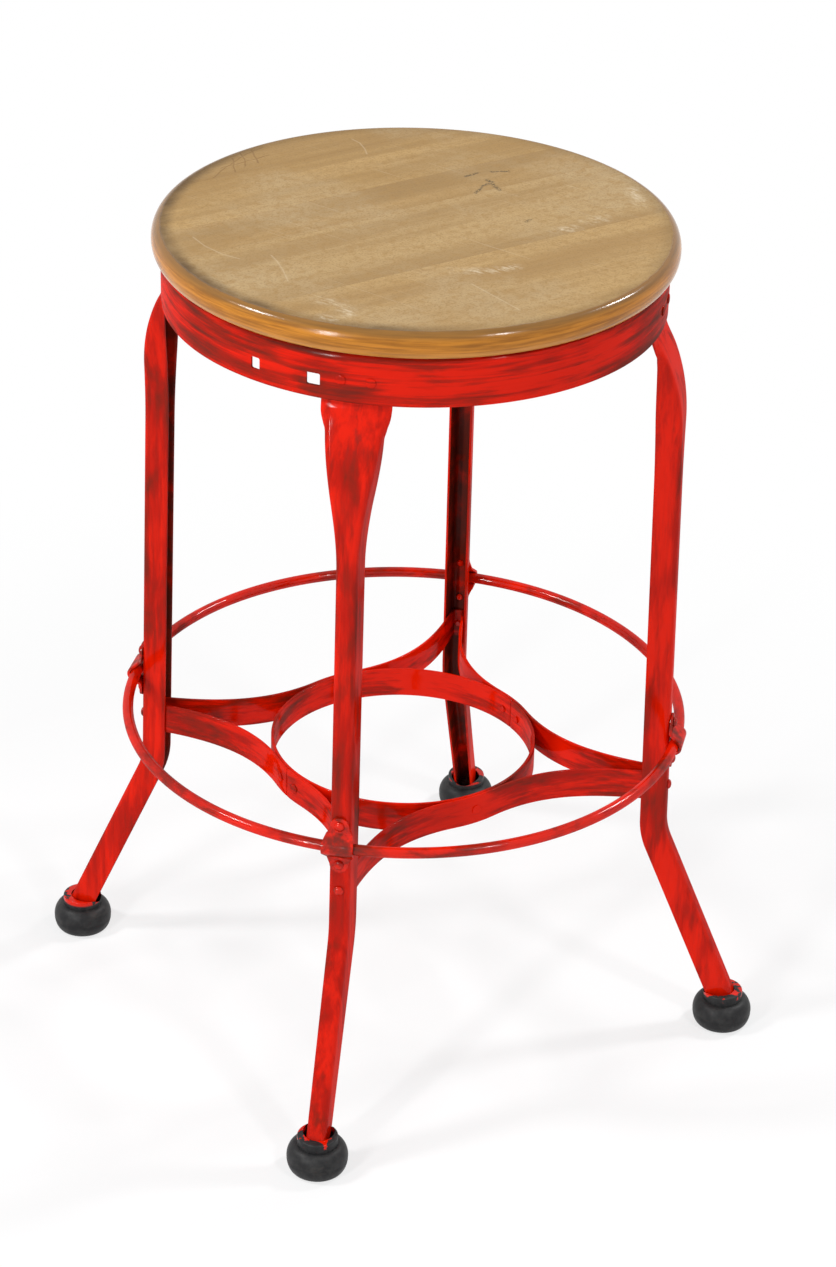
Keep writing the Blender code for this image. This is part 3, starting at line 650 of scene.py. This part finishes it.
# Saddle clips: sheet-steel straps pressed over the rod, each held flat on its leg by two domed rivets.
# Red paint, thick in the corners.

CLIP_FLANK = math.radians(50)
CLIP_WIDTH = 0.022
CLIP_LOBE = 0.0064
CLIP_END_CUT = math.radians(72)
CLIP_BEND = 0.0016
clip_hug = RING_ROD / 2 + CLEARANCE
rod_out = CLEARANCE + RING_ROD / 2
touch_out = rod_out + clip_hug * math.cos(CLIP_FLANK)
touch_along = clip_hug * math.sin(CLIP_FLANK)
flank_foot = touch_along + (touch_out - CLEARANCE) / math.tan(CLIP_FLANK)
bend_start = flank_foot + CLIP_BEND * math.tan(CLIP_FLANK / 2)
clip_rivet = CLIP_RIVET_PITCH / 2
clip_waist = CLIP_WIDTH / 2
taper = (clip_waist - CLIP_LOBE) / (clip_rivet - touch_along)


def clip_half_width(x):
    return clip_waist - taper * max(0, x - touch_along)


clip_half = []
for a in [CLIP_END_CUT * (1 - s) for s in shares(10)]:
    clip_half.append((clip_rivet + CLIP_LOBE * math.sin(a), CLEARANCE, CLIP_LOBE * math.cos(a)))
for s in shares(4)[1:-1]:
    x = clip_rivet + (bend_start - clip_rivet) * s
    clip_half.append((x, CLEARANCE, clip_half_width(x)))
for a in [CLIP_FLANK * s for s in shares(5)]:
    x = bend_start - CLIP_BEND * math.sin(a)
    clip_half.append((x, CLEARANCE + CLIP_BEND * (1 - math.cos(a)), clip_half_width(x)))
for a in [CLIP_FLANK * (1 - s) for s in shares(8)]:
    clip_half.append((clip_hug * math.sin(a), rod_out + clip_hug * math.cos(a), clip_waist))
clip_line = [(-x, out, width) for x, out, width in clip_half]
clip_line += [(x, out, width) for x, out, width in reversed(clip_half[:-1])]
clip_rows = [[(x, width * (2 * s - 1), out) for s in shares(10)] for x, out, width in clip_line]
clip_holes = [shifted(end * clip_rivet, 0, 0) for end in (-1, 1)]
clip_grip = CLIP_SHEET + CLEARANCE + LEG_SHEET
for side, angle in SIDES.items():
    clip = made(f"saddle_clip_{side}", lofted(clip_rows), fitting_paint)
    sheet_metal(clip, CLIP_SHEET, 1)
    cut(clip, pins(clip_holes, RIVET_HOLE))
    clip.data.transform(around(angle) @ web_frame(RING_HEIGHT))
    fit(clip, "red_paint", f"ring_clip_{side}")
    for number, place in enumerate(clip_rivet_places, 1):
        name = f"domed_rivet_{side}_{number}"
        rivet = riveted(name, around(angle) @ place, clip_grip, DOMED_HEAD, fitting_paint)
        fit(rivet, "red_paint", f"clip_rivet_{side}_{number}")

# Feet: moulded black rubber bells, pushed over the legs' ends, with a fine mould line round the widest part.
# The rubber is charcoal with a dull shine, and red paint was smeared on the collars with the legs.

FOOT_HEIGHT = 0.028
FOOT_BULGE = 0.0072
FOOT_TOE = 0.0047
FOOT_WAIST = 0.0105
COLLAR_WALL = 0.0022
COLLAR_HEIGHT = 0.0070
COLLAR_ROUND = 0.0012
MOULD_LINE = 0.0006
SMEAR_FULL = 0.0022
SMEAR_END = 0.0042
FOOT_FACETS = 96
SOCKET_FACETS = 64
SMEARS = {"right": 0.13, "back": 0.12, "left": 0.22, "front": 0.10}
RUBBER_DARK = (0.012, 0.012, 0.013, 1)
RUBBER_GREY = (0.026, 0.026, 0.026, 1)
RUBBER_DUST = (0.055, 0.050, 0.046, 1)


def splay_radius(height):
    """Radius of the channel's centre line below the knee."""
    drop = KNEE_HEIGHT - height - CHANNEL_CENTRE * math.sin(LEG_SPLAY)
    return KNEE_RADIUS + drop * math.tan(LEG_SPLAY) - CHANNEL_CENTRE * math.cos(LEG_SPLAY)


def foot_rubber(name, smear):
    """Charcoal rubber; smear is how much of the collar's rim carries red paint."""
    finish, tree, shader = new_finish(name)
    where = add(tree, "TexCoord").outputs["Object"]
    mottle = noise(tree, where, (160, 160, 160), 5, 0.6)
    overlay_mask = noise(tree, where, (60, 60, 90), 3, 0.55, 0.5)
    rubber = mixed(tree, between(tree, mottle, 0.35, 0.7), RUBBER_DARK, RUBBER_GREY)
    rubber = mixed(tree, between(tree, overlay_mask, 0.55, 0.75, 0, 0.5), rubber, RUBBER_DUST)
    height = add(tree, "SeparateXYZ", {0: where}).outputs[2]
    rim = between(tree, height, FOOT_HEIGHT - SMEAR_END, FOOT_HEIGHT - SMEAR_FULL)
    daub = noise(tree, where, (110, 110, 110), 3, 0.5, 0.6)
    painted = between(tree, daub, 0.62 - smear, 0.65 - smear)
    painted = combined(tree, "MULTIPLY", painted, rim)
    tree.links.new(mixed(tree, painted, rubber, BRIGHT_RED), shader.inputs["Base Color"])
    tree.links.new(between(tree, painted, 0, 1, 0.48, 0.18), shader.inputs["Roughness"])
    shader.inputs["Specular IOR Level"].default_value = 0.22
    grain = add(tree, "Bump", {"Strength": 0.25, "Distance": 0.0006, "Height": mottle})
    tree.links.new(grain.outputs[0], shader.inputs["Normal"])
    return finish


foot_axis = splay_radius((SOCKET_FLOOR + FOOT_HEIGHT) / 2)
collar = SOCKET_RADIUS / math.cos(LEG_SPLAY) + COLLAR_WALL
collar_foot = FOOT_HEIGHT - COLLAR_HEIGHT
belly = collar + FOOT_BULGE
foot_profile = [(0, FOOT_HEIGHT), (collar - COLLAR_ROUND, FOOT_HEIGHT)]
foot_profile += arc(collar - COLLAR_ROUND, FOOT_HEIGHT - COLLAR_ROUND, COLLAR_ROUND, 80, 0, 6)
foot_profile += [
    (collar + FOOT_BULGE * math.sin(a), FOOT_WAIST + (collar_foot - FOOT_WAIST) * math.cos(a))
    for a in [QUARTER * s for s in shares(14)]
]
foot_profile += [(belly - MOULD_LINE, FOOT_WAIST - MOULD_LINE * s) for s in (0.5, 1.5)]
foot_profile += [
    (belly - FOOT_TOE * (1 - math.cos(a)), FOOT_WAIST * (1 - math.sin(a)))
    for a in [QUARTER * s for s in shares(14)[2:]]
]
foot_profile.append((0, 0))
up_leg = Matrix.Rotation(-LEG_SPLAY, 4, "Y") @ shifted(0, 0, FOOT_HEIGHT)
socket = shifted(splay_radius(SOCKET_FLOOR) - foot_axis, 0, SOCKET_FLOOR) @ up_leg
for side, angle in SIDES.items():
    rubber = foot_rubber(f"foot_rubber_{side}", SMEARS[side])
    foot = made(f"bell_foot_{side}", turned(foot_profile, FOOT_FACETS), rubber)
    cut(foot, pins([socket], SOCKET_RADIUS, 2 * FOOT_HEIGHT, SOCKET_FACETS))
    foot.data.transform(around(angle) @ shifted(foot_axis, 0, 0))
    fit(foot, "foot_rubber", f"rubber_foot_{side}")

# Foot washers: punched steel discs in the floor of each foot, so that the leg's end doesn't cut the rubber.
# Bare steel with patches of rust.

WASHER_STEEL = (0.42, 0.41, 0.39, 1)
WASHER_RUST = (0.16, 0.075, 0.035, 1)
washer_steel, tree, shader = new_finish("washer_steel")
steel_where = add(tree, "TexCoord").outputs["Object"]
rust = between(tree, noise(tree, steel_where, (90, 90, 90), 5, 0.6), 0.45, 0.65)
tree.links.new(mixed(tree, rust, WASHER_STEEL, WASHER_RUST), shader.inputs["Base Color"])
tree.links.new(between(tree, rust, 0, 1, 0.35, 0.7), shader.inputs["Roughness"])
tree.links.new(between(tree, rust, 0, 1, 1, 0.2), shader.inputs["Metallic"])
for side in SIDES:
    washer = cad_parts[f"foot_washer_{side}"]
    washer.data.materials.clear()
    washer.data.materials.append(washer_steel)

# Seat: hardwood boards glued edge to edge, turned to a disc with a half-round nose and varnished.
# The top is worn to dry tan wood with scuffs and stains, and the nose keeps its amber varnish.

SEAT_TOP = 0.607
SEAT_BOTTOM = 0.588
SEAT_RADIUS = 0.178
SEAT_NOSE = 0.0065
FLAT_EDGE = SEAT_RADIUS - SEAT_NOSE
BOARD_DIRECTION = math.radians(45)
GLUE_LINES = (-0.064, 0.025, 0.067, 0.133)
GLUE_GAP = 0.00006
PAST_THE_DISC = 0.36
SLAB_HEIGHT = 0.1
SEAT_FACETS = 288
SCREW_CIRCLE = 0.15845
SCREW_SEAT = 0.5858
SCREW_HOLE = 0.0023
SCREW_HOLE_DEPTH = 0.0153
RUB_DIRECTION = math.radians(24)
MARK_WOBBLE = 0.006
SCUFF_WIDTH = 0.0085
PALE_SCRATCH_WIDTH = 0.0009
DARK_SCRATCH_WIDTH = 0.0010
STAIN_WIDTH = 0.0022
VARNISH_RAG = 0.003


def mark_group():
    """Soft line from one point of the seat's top to another, 1 on the line and 0 past its width."""
    group = bpy.data.node_groups.new("mark", "ShaderNodeTree")
    for name, kind in (("Where", "Vector"), ("Start", "Vector"), ("End", "Vector"), ("Width", "Float")):
        group.interface.new_socket(name, in_out="INPUT", socket_type="NodeSocket" + kind)
    group.interface.new_socket("Mark", in_out="OUTPUT", socket_type="NodeSocketFloat")
    given = group.nodes.new("NodeGroupInput").outputs
    result = group.nodes.new("NodeGroupOutput")
    from_start = add(group, "VectorMath", {0: given[0], 1: given[1]}, operation="SUBTRACT").outputs[0]
    run = add(group, "VectorMath", {0: given[2], 1: given[1]}, operation="SUBTRACT").outputs[0]
    reach = add(group, "VectorMath", {0: from_start, 1: run}, operation="DOT_PRODUCT").outputs["Value"]
    whole = add(group, "VectorMath", {0: run, 1: run}, operation="DOT_PRODUCT").outputs["Value"]
    share = add(group, "Math", {0: reach, 1: whole}, operation="DIVIDE", use_clamp=True).outputs[0]
    near = add(group, "VectorMath", {0: run, "Scale": share}, operation="SCALE").outputs[0]
    off = add(group, "VectorMath", {0: from_start, 1: near}, operation="DISTANCE").outputs["Value"]
    group.links.new(between(group, off, 0, given[3], 1, 0), result.inputs[0])
    return group


seat_mark = mark_group()


def marks(tree, where, lines, width):
    """The strongest of the lines, each a run of points on the seat's top."""
    strongest = None
    for line in lines:
        for start, end in zip(line, line[1:]):
            sockets = {"Where": where, "Start": (*start, 0), "End": (*end, 0), "Width": width}
            mark = add(tree, "Group", sockets, node_tree=seat_mark).outputs[0]
            strongest = combined(tree, "MAXIMUM", strongest, mark) if strongest else mark
    return strongest


PALE_SCRATCHES = (
    ((-0.1377, -0.0636), (-0.1261, -0.0757), (-0.1118, -0.0853), (-0.0984, -0.0899)),
    ((-0.0805, -0.0780), (-0.0743, -0.0863), (-0.0669, -0.0993), (-0.0594, -0.1153)),
    ((-0.0773, 0.1343), (-0.0701, 0.1285), (-0.0641, 0.1186), (-0.0606, 0.1100)),
    ((0.0563, -0.0873), (0.0943, -0.1186)),
    ((0.118, 0.062), (0.127, 0.066)),
)
SCUFFS = (
    ((0.040, -0.070), (0.056, -0.066), (0.078, -0.054)),
    ((0.110, 0.034), (0.121, 0.044)),
    ((0.094, 0.015), (0.104, 0.021)),
    ((0.130, 0.098), (0.140, 0.073)),
    ((-0.034, -0.139), (-0.019, -0.140), (-0.009, -0.156)),
    ((-0.024, -0.164), (-0.015, -0.166)),
)
DARK_SCRATCHES = (
    ((-0.1528, 0.0379), (-0.1451, 0.0777), (-0.1343, 0.1020)),
    ((-0.1500, 0.0764), (-0.1398, 0.0528)),
    ((-0.1467, 0.0888), (-0.1360, 0.0652)),
    ((-0.1396, 0.0947), (-0.1295, 0.0728)),
    ((-0.1523, 0.0567), (-0.1252, 0.0893)),
)
STAINS = (
    ((0.0151, 0.0903), (0.0219, 0.0985)),
    ((0.0300, 0.1040), (0.0406, 0.1071)),
    ((0.0299, 0.0871), (0.0360, 0.0810), (0.0421, 0.0722)),
    ((0.0274, 0.0624), (0.0300, 0.0760), (0.0345, 0.0850)),
    ((0.0704, 0.0222), (0.0730, 0.0272)),
)
FIGURE_BROWN = (0.33, 0.205, 0.085, 1)
WORN_TAN = (0.47, 0.340, 0.185, 1)
PORE_BROWN = (0.25, 0.150, 0.065, 1)
MOTTLE_BROWN = (0.36, 0.215, 0.080, 1)
SPECK_BROWN = (0.27, 0.165, 0.065, 1)
SCUFF_PALE = (0.74, 0.63, 0.46, 1)
SCRATCH_BROWN = (0.17, 0.085, 0.03, 1)
STAIN_BLACK = (0.07, 0.055, 0.035, 1)
AMBER = (0.54, 0.205, 0.018, 1)
DEEP_AMBER = (0.30, 0.106, 0.008, 1)
PALE_AMBER = (0.68, 0.36, 0.090, 1)
SMOKED_AMBER = (0.19, 0.100, 0.026, 1)
RIM_DARK_BAND = (0.090, 0.052, 0.022, 1)
CHAFED_EDGE = (0.62, 0.45, 0.24, 1)
VARNISH_ROUGHNESS = (0.17, 0.17, 0.17, 1)
BOARD_TONES = (
    ((0.48, 0.315, 0.138, 1), (0.37, 0.228, 0.092, 1), (0.00, 0.00, 0.0)),
    ((0.48, 0.325, 0.152, 1), (0.36, 0.230, 0.100, 1), (0.37, 0.21, 0.3)),
    ((0.45, 0.290, 0.125, 1), (0.33, 0.205, 0.083, 1), (0.81, 0.43, 0.6)),
    ((0.49, 0.318, 0.135, 1), (0.37, 0.228, 0.088, 1), (1.24, 0.67, 0.9)),
    ((0.44, 0.280, 0.115, 1), (0.31, 0.185, 0.070, 1), (1.63, 0.88, 1.2)),
)


def dry_wood(tree, where, speckle, light, dark, shift):
    """Colour of a worn board, its fibre and its pores; shift moves the grain along."""
    turned_to_grain = {"Vector": where, "Rotation": (0, 0, -BOARD_DIRECTION), "Location": shift}
    grain_where = add(tree, "Mapping", turned_to_grain).outputs[0]
    bands = noise(tree, grain_where, (2.5, 36, 30), 3, 0.5, 0.4)
    figure = noise(tree, grain_where, (7, 150, 100), 6, 0.6, 0.3)
    fibre = noise(tree, grain_where, (40, 900, 400), 3, 0.6)
    pores = noise(tree, grain_where, (130, 900, 500), 2, 0.5)
    clouds = noise(tree, where, (12, 12, 12), 4, 0.55)
    mottle = noise(tree, where, (170, 170, 170), 5, 0.65, 0.5)
    wood = mixed(tree, between(tree, bands, 0.36, 0.64, 0, 0.95), light, dark)
    wood = mixed(tree, between(tree, figure, 0.42, 0.72, 0, 0.45), wood, FIGURE_BROWN)
    wood = mixed(tree, between(tree, clouds, 0.42, 0.66, 0, 0.65), wood, WORN_TAN)
    wood = mixed(tree, between(tree, pores, 0.62, 0.71, 0, 0.35), wood, PORE_BROWN)
    wood = mixed(tree, between(tree, mottle, 0.42, 0.70, 0, 0.65), wood, MOTTLE_BROWN)
    wood = mixed(tree, between(tree, speckle, 0.48, 0.72, 0, 0.55), wood, SPECK_BROWN)
    return wood, fibre, pores


def marked_by_use(tree, where, flat, speckle, wood):
    """Scuffs, scratches, rubbed hairlines and stains laid over the wood."""
    wobble = add(tree, "TexNoise", {"Vector": where, "Scale": 55, "Detail": 2}).outputs["Color"]
    wobble = add(tree, "VectorMath", {0: wobble, 1: (0.5, 0.5, 0.5)}, operation="SUBTRACT").outputs[0]
    wobble = add(tree, "VectorMath", {0: wobble, "Scale": MARK_WOBBLE}, operation="SCALE").outputs[0]
    loose = add(tree, "VectorMath", {0: flat, 1: wobble}, operation="ADD").outputs[0]
    loose = add(tree, "VectorMath", {0: loose, 1: (1, 1, 0)}, operation="MULTIPLY").outputs[0]
    rubs = add(tree, "Mapping", {"Vector": where, "Rotation": (0, 0, RUB_DIRECTION)}).outputs[0]
    broken = between(tree, noise(tree, rubs, (150, 330, 200), 5, 0.7, 0.4), 0.42, 0.66)
    scuffed = combined(tree, "MULTIPLY", marks(tree, loose, SCUFFS, SCUFF_WIDTH), broken)
    scuffed = combined(tree, "MULTIPLY", scuffed, 0.60)
    scratched = combined(tree, "MULTIPLY", marks(tree, flat, PALE_SCRATCHES, PALE_SCRATCH_WIDTH), 0.25)
    hairlines = between(tree, noise(tree, rubs, (9, 1100, 300), 2, 0.5), 0.68, 0.75, 0, 0.30)
    pale = combined(tree, "MAXIMUM", scuffed, combined(tree, "MAXIMUM", scratched, hairlines))
    wood = mixed(tree, pale, wood, SCUFF_PALE)
    scored = combined(tree, "MULTIPLY", marks(tree, loose, DARK_SCRATCHES, DARK_SCRATCH_WIDTH), 0.5)
    wood = mixed(tree, scored, wood, SCRATCH_BROWN)
    stained = between(tree, speckle, 0.36, 0.56)
    stained = combined(tree, "MULTIPLY", marks(tree, loose, STAINS, STAIN_WIDTH), stained)
    return mixed(tree, combined(tree, "MULTIPLY", stained, 0.85), wood, STAIN_BLACK)


def varnished_nose(tree, where, flat, wood):
    """Amber varnish on the nose, a darker ragged band along the edge between the bare top and the nose,
    heavier towards the left-front, and the share of varnish.
    """
    height = add(tree, "SeparateXYZ", {0: where}).outputs[2]
    radius = add(tree, "VectorMath", {0: flat}, operation="LENGTH").outputs["Value"]
    ragged = combined(tree, "MULTIPLY", noise(tree, where, (110, 110, 20), 4, 0.65), VARNISH_RAG)
    ragged = combined(tree, "ADD", ragged, combined(tree, "SUBTRACT", radius, VARNISH_RAG / 2))
    varnished = between(tree, ragged, FLAT_EDGE - 0.0012, FLAT_EDGE + 0.0014)
    streaks = noise(tree, where, (24, 24, 520), 4, 0.6)
    amber = mixed(tree, between(tree, streaks, 0.36, 0.68), AMBER, DEEP_AMBER)
    low_down = between(tree, height, SEAT_BOTTOM + 0.007, SEAT_BOTTOM + 0.001, 0, 0.5)
    amber = mixed(tree, low_down, amber, PALE_AMBER)
    high_up = between(tree, height, SEAT_TOP - 0.0065, SEAT_TOP - 0.001, 0, 0.75)
    amber = mixed(tree, high_up, amber, SMOKED_AMBER)
    wood = mixed(tree, varnished, wood, amber)
    # A darker ragged band on the top just inside the nose, patchy and heavier towards the left-front.
    band_inside = between(tree, ragged, FLAT_EDGE - 0.0110, FLAT_EDGE - 0.0004)
    band_outside = between(tree, ragged, FLAT_EDGE, FLAT_EDGE + 0.0018, 1, 0)
    overlay_mask = combined(tree, "MULTIPLY", band_inside, band_outside)
    to_left = add(tree, "VectorMath", {0: flat, 1: (-4.4, -3.4, 0)}, operation="DOT_PRODUCT").outputs["Value"]
    patchy = between(tree, noise(tree, where, (14, 14, 14), 4, 0.6), 0.34, 0.64, 0.35, 1)
    patchy = combined(tree, "MULTIPLY", patchy, between(tree, to_left, -0.2, 0.9, 0.25, 0.95))
    wood = mixed(tree, combined(tree, "MULTIPLY", overlay_mask, patchy), wood, RIM_DARK_BAND)
    chafed = between(tree, height, SEAT_BOTTOM + 0.0004, SEAT_BOTTOM + 0.0016, 1, 0)
    chafed = combined(tree, "MULTIPLY", chafed, varnished)
    return mixed(tree, combined(tree, "MULTIPLY", chafed, 0.7), wood, CHAFED_EDGE), varnished


def seat_wood(name, light, dark, shift):
    """Finish of one board; light and dark are its grain's colours, and shift moves the grain along."""
    finish, tree, shader = new_finish(name)
    where = add(tree, "TexCoord").outputs["Object"]
    flat = add(tree, "VectorMath", {0: where, 1: (1, 1, 0)}, operation="MULTIPLY").outputs[0]
    speckle = noise(tree, where, (700, 700, 700), 2, 0.5)
    wood, fibre, pores = dry_wood(tree, where, speckle, light, dark, shift)
    wood = marked_by_use(tree, where, flat, speckle, wood)
    wood, varnished = varnished_nose(tree, where, flat, wood)
    tree.links.new(wood, shader.inputs["Base Color"])
    dry = between(tree, fibre, 0.3, 0.7, 0.52, 0.66)
    tree.links.new(mixed(tree, varnished, dry, VARNISH_ROUGHNESS), shader.inputs["Roughness"])
    tree.links.new(between(tree, varnished, 0, 1, 0.14, 0.28), shader.inputs["Specular IOR Level"])
    raised = combined(tree, "MULTIPLY", fibre, 0.6)
    raised = combined(tree, "ADD", raised, combined(tree, "MULTIPLY", pores, -0.6))
    grain_bump = add(tree, "Bump", {"Strength": 0.15, "Distance": 0.0004, "Height": raised})
    tree.links.new(grain_bump.outputs[0], shader.inputs["Normal"])
    return finish


seat_middle = (SEAT_TOP + SEAT_BOTTOM) / 2
seat_half = (SEAT_TOP - SEAT_BOTTOM) / 2
seat_profile = [(0, SEAT_TOP)] + [(FLAT_EDGE * s, SEAT_TOP) for s in shares(6)[1:-1]]
seat_profile += [
    (FLAT_EDGE + SEAT_NOSE * math.sin(a), seat_middle + seat_half * math.cos(a))
    for a in [math.pi * s for s in shares(28)]
]
seat_profile.append((0, SEAT_BOTTOM))
board_edges = (-PAST_THE_DISC, *GLUE_LINES, PAST_THE_DISC)
screw_places = [around(angle + MIDWAY) @ shifted(SCREW_CIRCLE, 0, SCREW_SEAT) for angle in SIDES.values()]
for number, (near, far, tones) in enumerate(zip(board_edges, board_edges[1:], BOARD_TONES), 1):
    wood = seat_wood(f"seat_wood_{number}", *tones)
    board = made(f"glued_board_{number}", turned(seat_profile, SEAT_FACETS), wood)
    slab = bmesh.new()
    middle = around(BOARD_DIRECTION) @ shifted(0, (near + far) / 2, SEAT_BOTTOM)
    size = Matrix.Diagonal((2 * PAST_THE_DISC, far - near - GLUE_GAP, SLAB_HEIGHT, 1))
    bmesh.ops.create_cube(slab, matrix=middle @ size)
    cut(board, slab, "INTERSECT")
    cut(board, pins(screw_places, SCREW_HOLE, 2 * SCREW_HOLE_DEPTH))
    fit(board, "seat_wood", f"seat_board_{number}")

# Seat screws: slotted steel wood screws driven up through the apron's flange into the boards.
# Bare steel, dulled, with the slot filed across a low round head.

SCREW_LENGTH = 0.015
SCREW_POINT = 0.010
SCREW_SHANK = 0.0020
SCREW_ROOT = 0.0015
THREAD_TOP = 0.0098
THREAD_PITCH = 0.0011
THREAD_FALL = 0.0006
THREAD_TURNS = 8
SCREW_HEAD = 0.0040
SCREW_HEAD_RIM = 0.0009
SCREW_HEAD_CHAMFER = 0.0002
SCREW_HEAD_LIP = 0.0003
SCREW_HEAD_HEIGHT = 0.0024
SLOT_LENGTH = 0.02
SLOT_WIDTH = 0.0010
SLOT_DEPTH = 0.0010
SLOT_TURN = 0.7
SCREW_FACETS = 32
SCREW_STEEL = (0.50, 0.48, 0.45, 1)
SCREW_DULL = (0.20, 0.14, 0.10, 1)
screw_steel, tree, shader = new_finish("screw_steel")
screw_where = add(tree, "TexCoord").outputs["Object"]
dulled = between(tree, noise(tree, screw_where, (300, 300, 300), 4, 0.6), 0.4, 0.65)
tree.links.new(mixed(tree, dulled, SCREW_STEEL, SCREW_DULL), shader.inputs["Base Color"])
tree.links.new(between(tree, dulled, 0, 1, 0.30, 0.6), shader.inputs["Roughness"])
shader.inputs["Metallic"].default_value = 0.9
screw_profile = [(0, SCREW_LENGTH), (SCREW_SHANK, SCREW_POINT)]
for i in range(THREAD_TURNS):
    crest = THREAD_TOP - THREAD_PITCH * i
    screw_profile += [(SCREW_SHANK, crest), (SCREW_ROOT, crest - THREAD_FALL)]
screw_profile += [(SCREW_SHANK, 0), (SCREW_HEAD - SCREW_HEAD_CHAMFER, 0), (SCREW_HEAD, -SCREW_HEAD_LIP)]
screw_profile += [
    (SCREW_HEAD * math.cos(a), -SCREW_HEAD_RIM - (SCREW_HEAD_HEIGHT - SCREW_HEAD_RIM) * math.sin(a))
    for a in [QUARTER * s for s in shares(8)[:-1]]
]
screw_profile.append((0, -SCREW_HEAD_HEIGHT))
for number, place in enumerate(screw_places, 1):
    screw = made(f"wood_screw_{number}", turned(screw_profile, SCREW_FACETS), screw_steel)
    slot = bmesh.new()
    across = shifted(0, 0, -SCREW_HEAD_HEIGHT) @ around(SLOT_TURN * number)
    size = Matrix.Diagonal((SLOT_LENGTH, SLOT_WIDTH, 2 * SLOT_DEPTH, 1))
    bmesh.ops.create_cube(slot, matrix=across @ size)
    cut(screw, slot)
    screw.data.transform(place)
    fit(screw, "plain_steel", f"seat_screw_{number}")

# Studio: a white floor under soft lamps, with the camera where the photographer stood.
# The floor keeps the stool's shadow, and the white around it shows in the gloss of the paint.

WHITE = (1, 1, 1, 1)
CHALK = (0.93, 0.93, 0.94, 1)
FLOOR_REACH = 8
FLOOR_DROP = 0.0002
SHADOW_NEAR = 0.25
SHADOW_FAR = 0.85
SHADOW_GLOW = 0.68
SKY_LIGHT = 0.28


def seen_straight(tree):
    """1 for what is seen, mirrored or looked through at, and 0 for what only lights other surfaces."""
    rays = add(tree, "LightPath").outputs
    seen = combined(tree, "MAXIMUM", rays["Is Camera Ray"], rays["Is Glossy Ray"])
    return combined(tree, "MAXIMUM", seen, rays["Is Transmission Ray"])


floor_work = bmesh.new()
bmesh.ops.create_grid(floor_work, x_segments=1, y_segments=1, size=FLOOR_REACH)
floor_white, tree, shader = new_finish("floor_white")
tree.nodes.remove(shader)
chalk = add(tree, "BsdfDiffuse", {"Color": CHALK})
glow = add(tree, "Emission", {"Color": WHITE, "Strength": 1})
floor_where = add(tree, "TexCoord").outputs["Object"]
from_stool = add(tree, "VectorMath", {0: floor_where}, operation="LENGTH").outputs["Value"]
clear = between(tree, from_stool, SHADOW_NEAR, SHADOW_FAR, SHADOW_GLOW, 1)
shown = combined(tree, "MULTIPLY", seen_straight(tree), clear)
lit = add(tree, "MixShader", {0: shown, 1: chalk.outputs[0], 2: glow.outputs[0]})
tree.links.new(lit.outputs[0], tree.nodes["Material Output"].inputs["Surface"])
floor = made("studio_floor", floor_work, floor_white)
floor.location.z = -FLOOR_DROP

world = bpy.data.worlds.new("studio")
bpy.context.scene.world = world
world.use_nodes = True
tree = world.node_tree
tree.nodes.clear()
soft = add(tree, "Background", {"Color": WHITE, "Strength": SKY_LIGHT})
white = add(tree, "Background", {"Color": WHITE, "Strength": 1})
sky = add(tree, "MixShader", {0: seen_straight(tree), 1: soft.outputs[0], 2: white.outputs[0]})
out = add(tree, "OutputWorld")
tree.links.new(sky.outputs[0], out.inputs["Surface"])


def soft_lamp(name, place, aim, size, power):
    data = bpy.data.lights.new(name, "AREA")
    data.shape = "RECTANGLE"
    data.size, data.size_y = size
    data.energy = power
    lamp = bpy.data.objects.new(name, data)
    lamp.location = place
    lamp.rotation_euler = (Vector(aim) - Vector(place)).to_track_quat("-Z", "Y").to_euler()
    bpy.context.scene.collection.objects.link(lamp)


soft_lamp("left_window", place=(-1.60, -0.68, 2.05), aim=(0, 0, 0.4), size=(0.30, 0.36), power=26)
soft_lamp("left_front_strip", place=(-0.92, -2.16, 1.25), aim=(0, 0, 0.5), size=(0.13, 0.9), power=25)
soft_lamp("right_front_window", place=(1.42, -1.07, 2.05), aim=(0, 0, 0.4), size=(0.2, 0.3), power=13)
soft_lamp("right_back_window", place=(1.40, 1.08, 2.05), aim=(0, 0, 0.4), size=(0.25, 0.4), power=25)

camera_data = bpy.data.cameras.new("camera")
camera_data.lens = 104.51
camera_data.sensor_width = 36
camera = bpy.data.objects.new("camera", camera_data)
camera.location = (0.4797, -2.2317, 1.5799)
camera.rotation_euler = (math.radians(60.545), math.radians(-1.430), math.radians(12.720))
bpy.context.scene.collection.objects.link(camera)
bpy.context.scene.camera = camera
bpy.context.scene.view_settings.view_transform = "Standard"
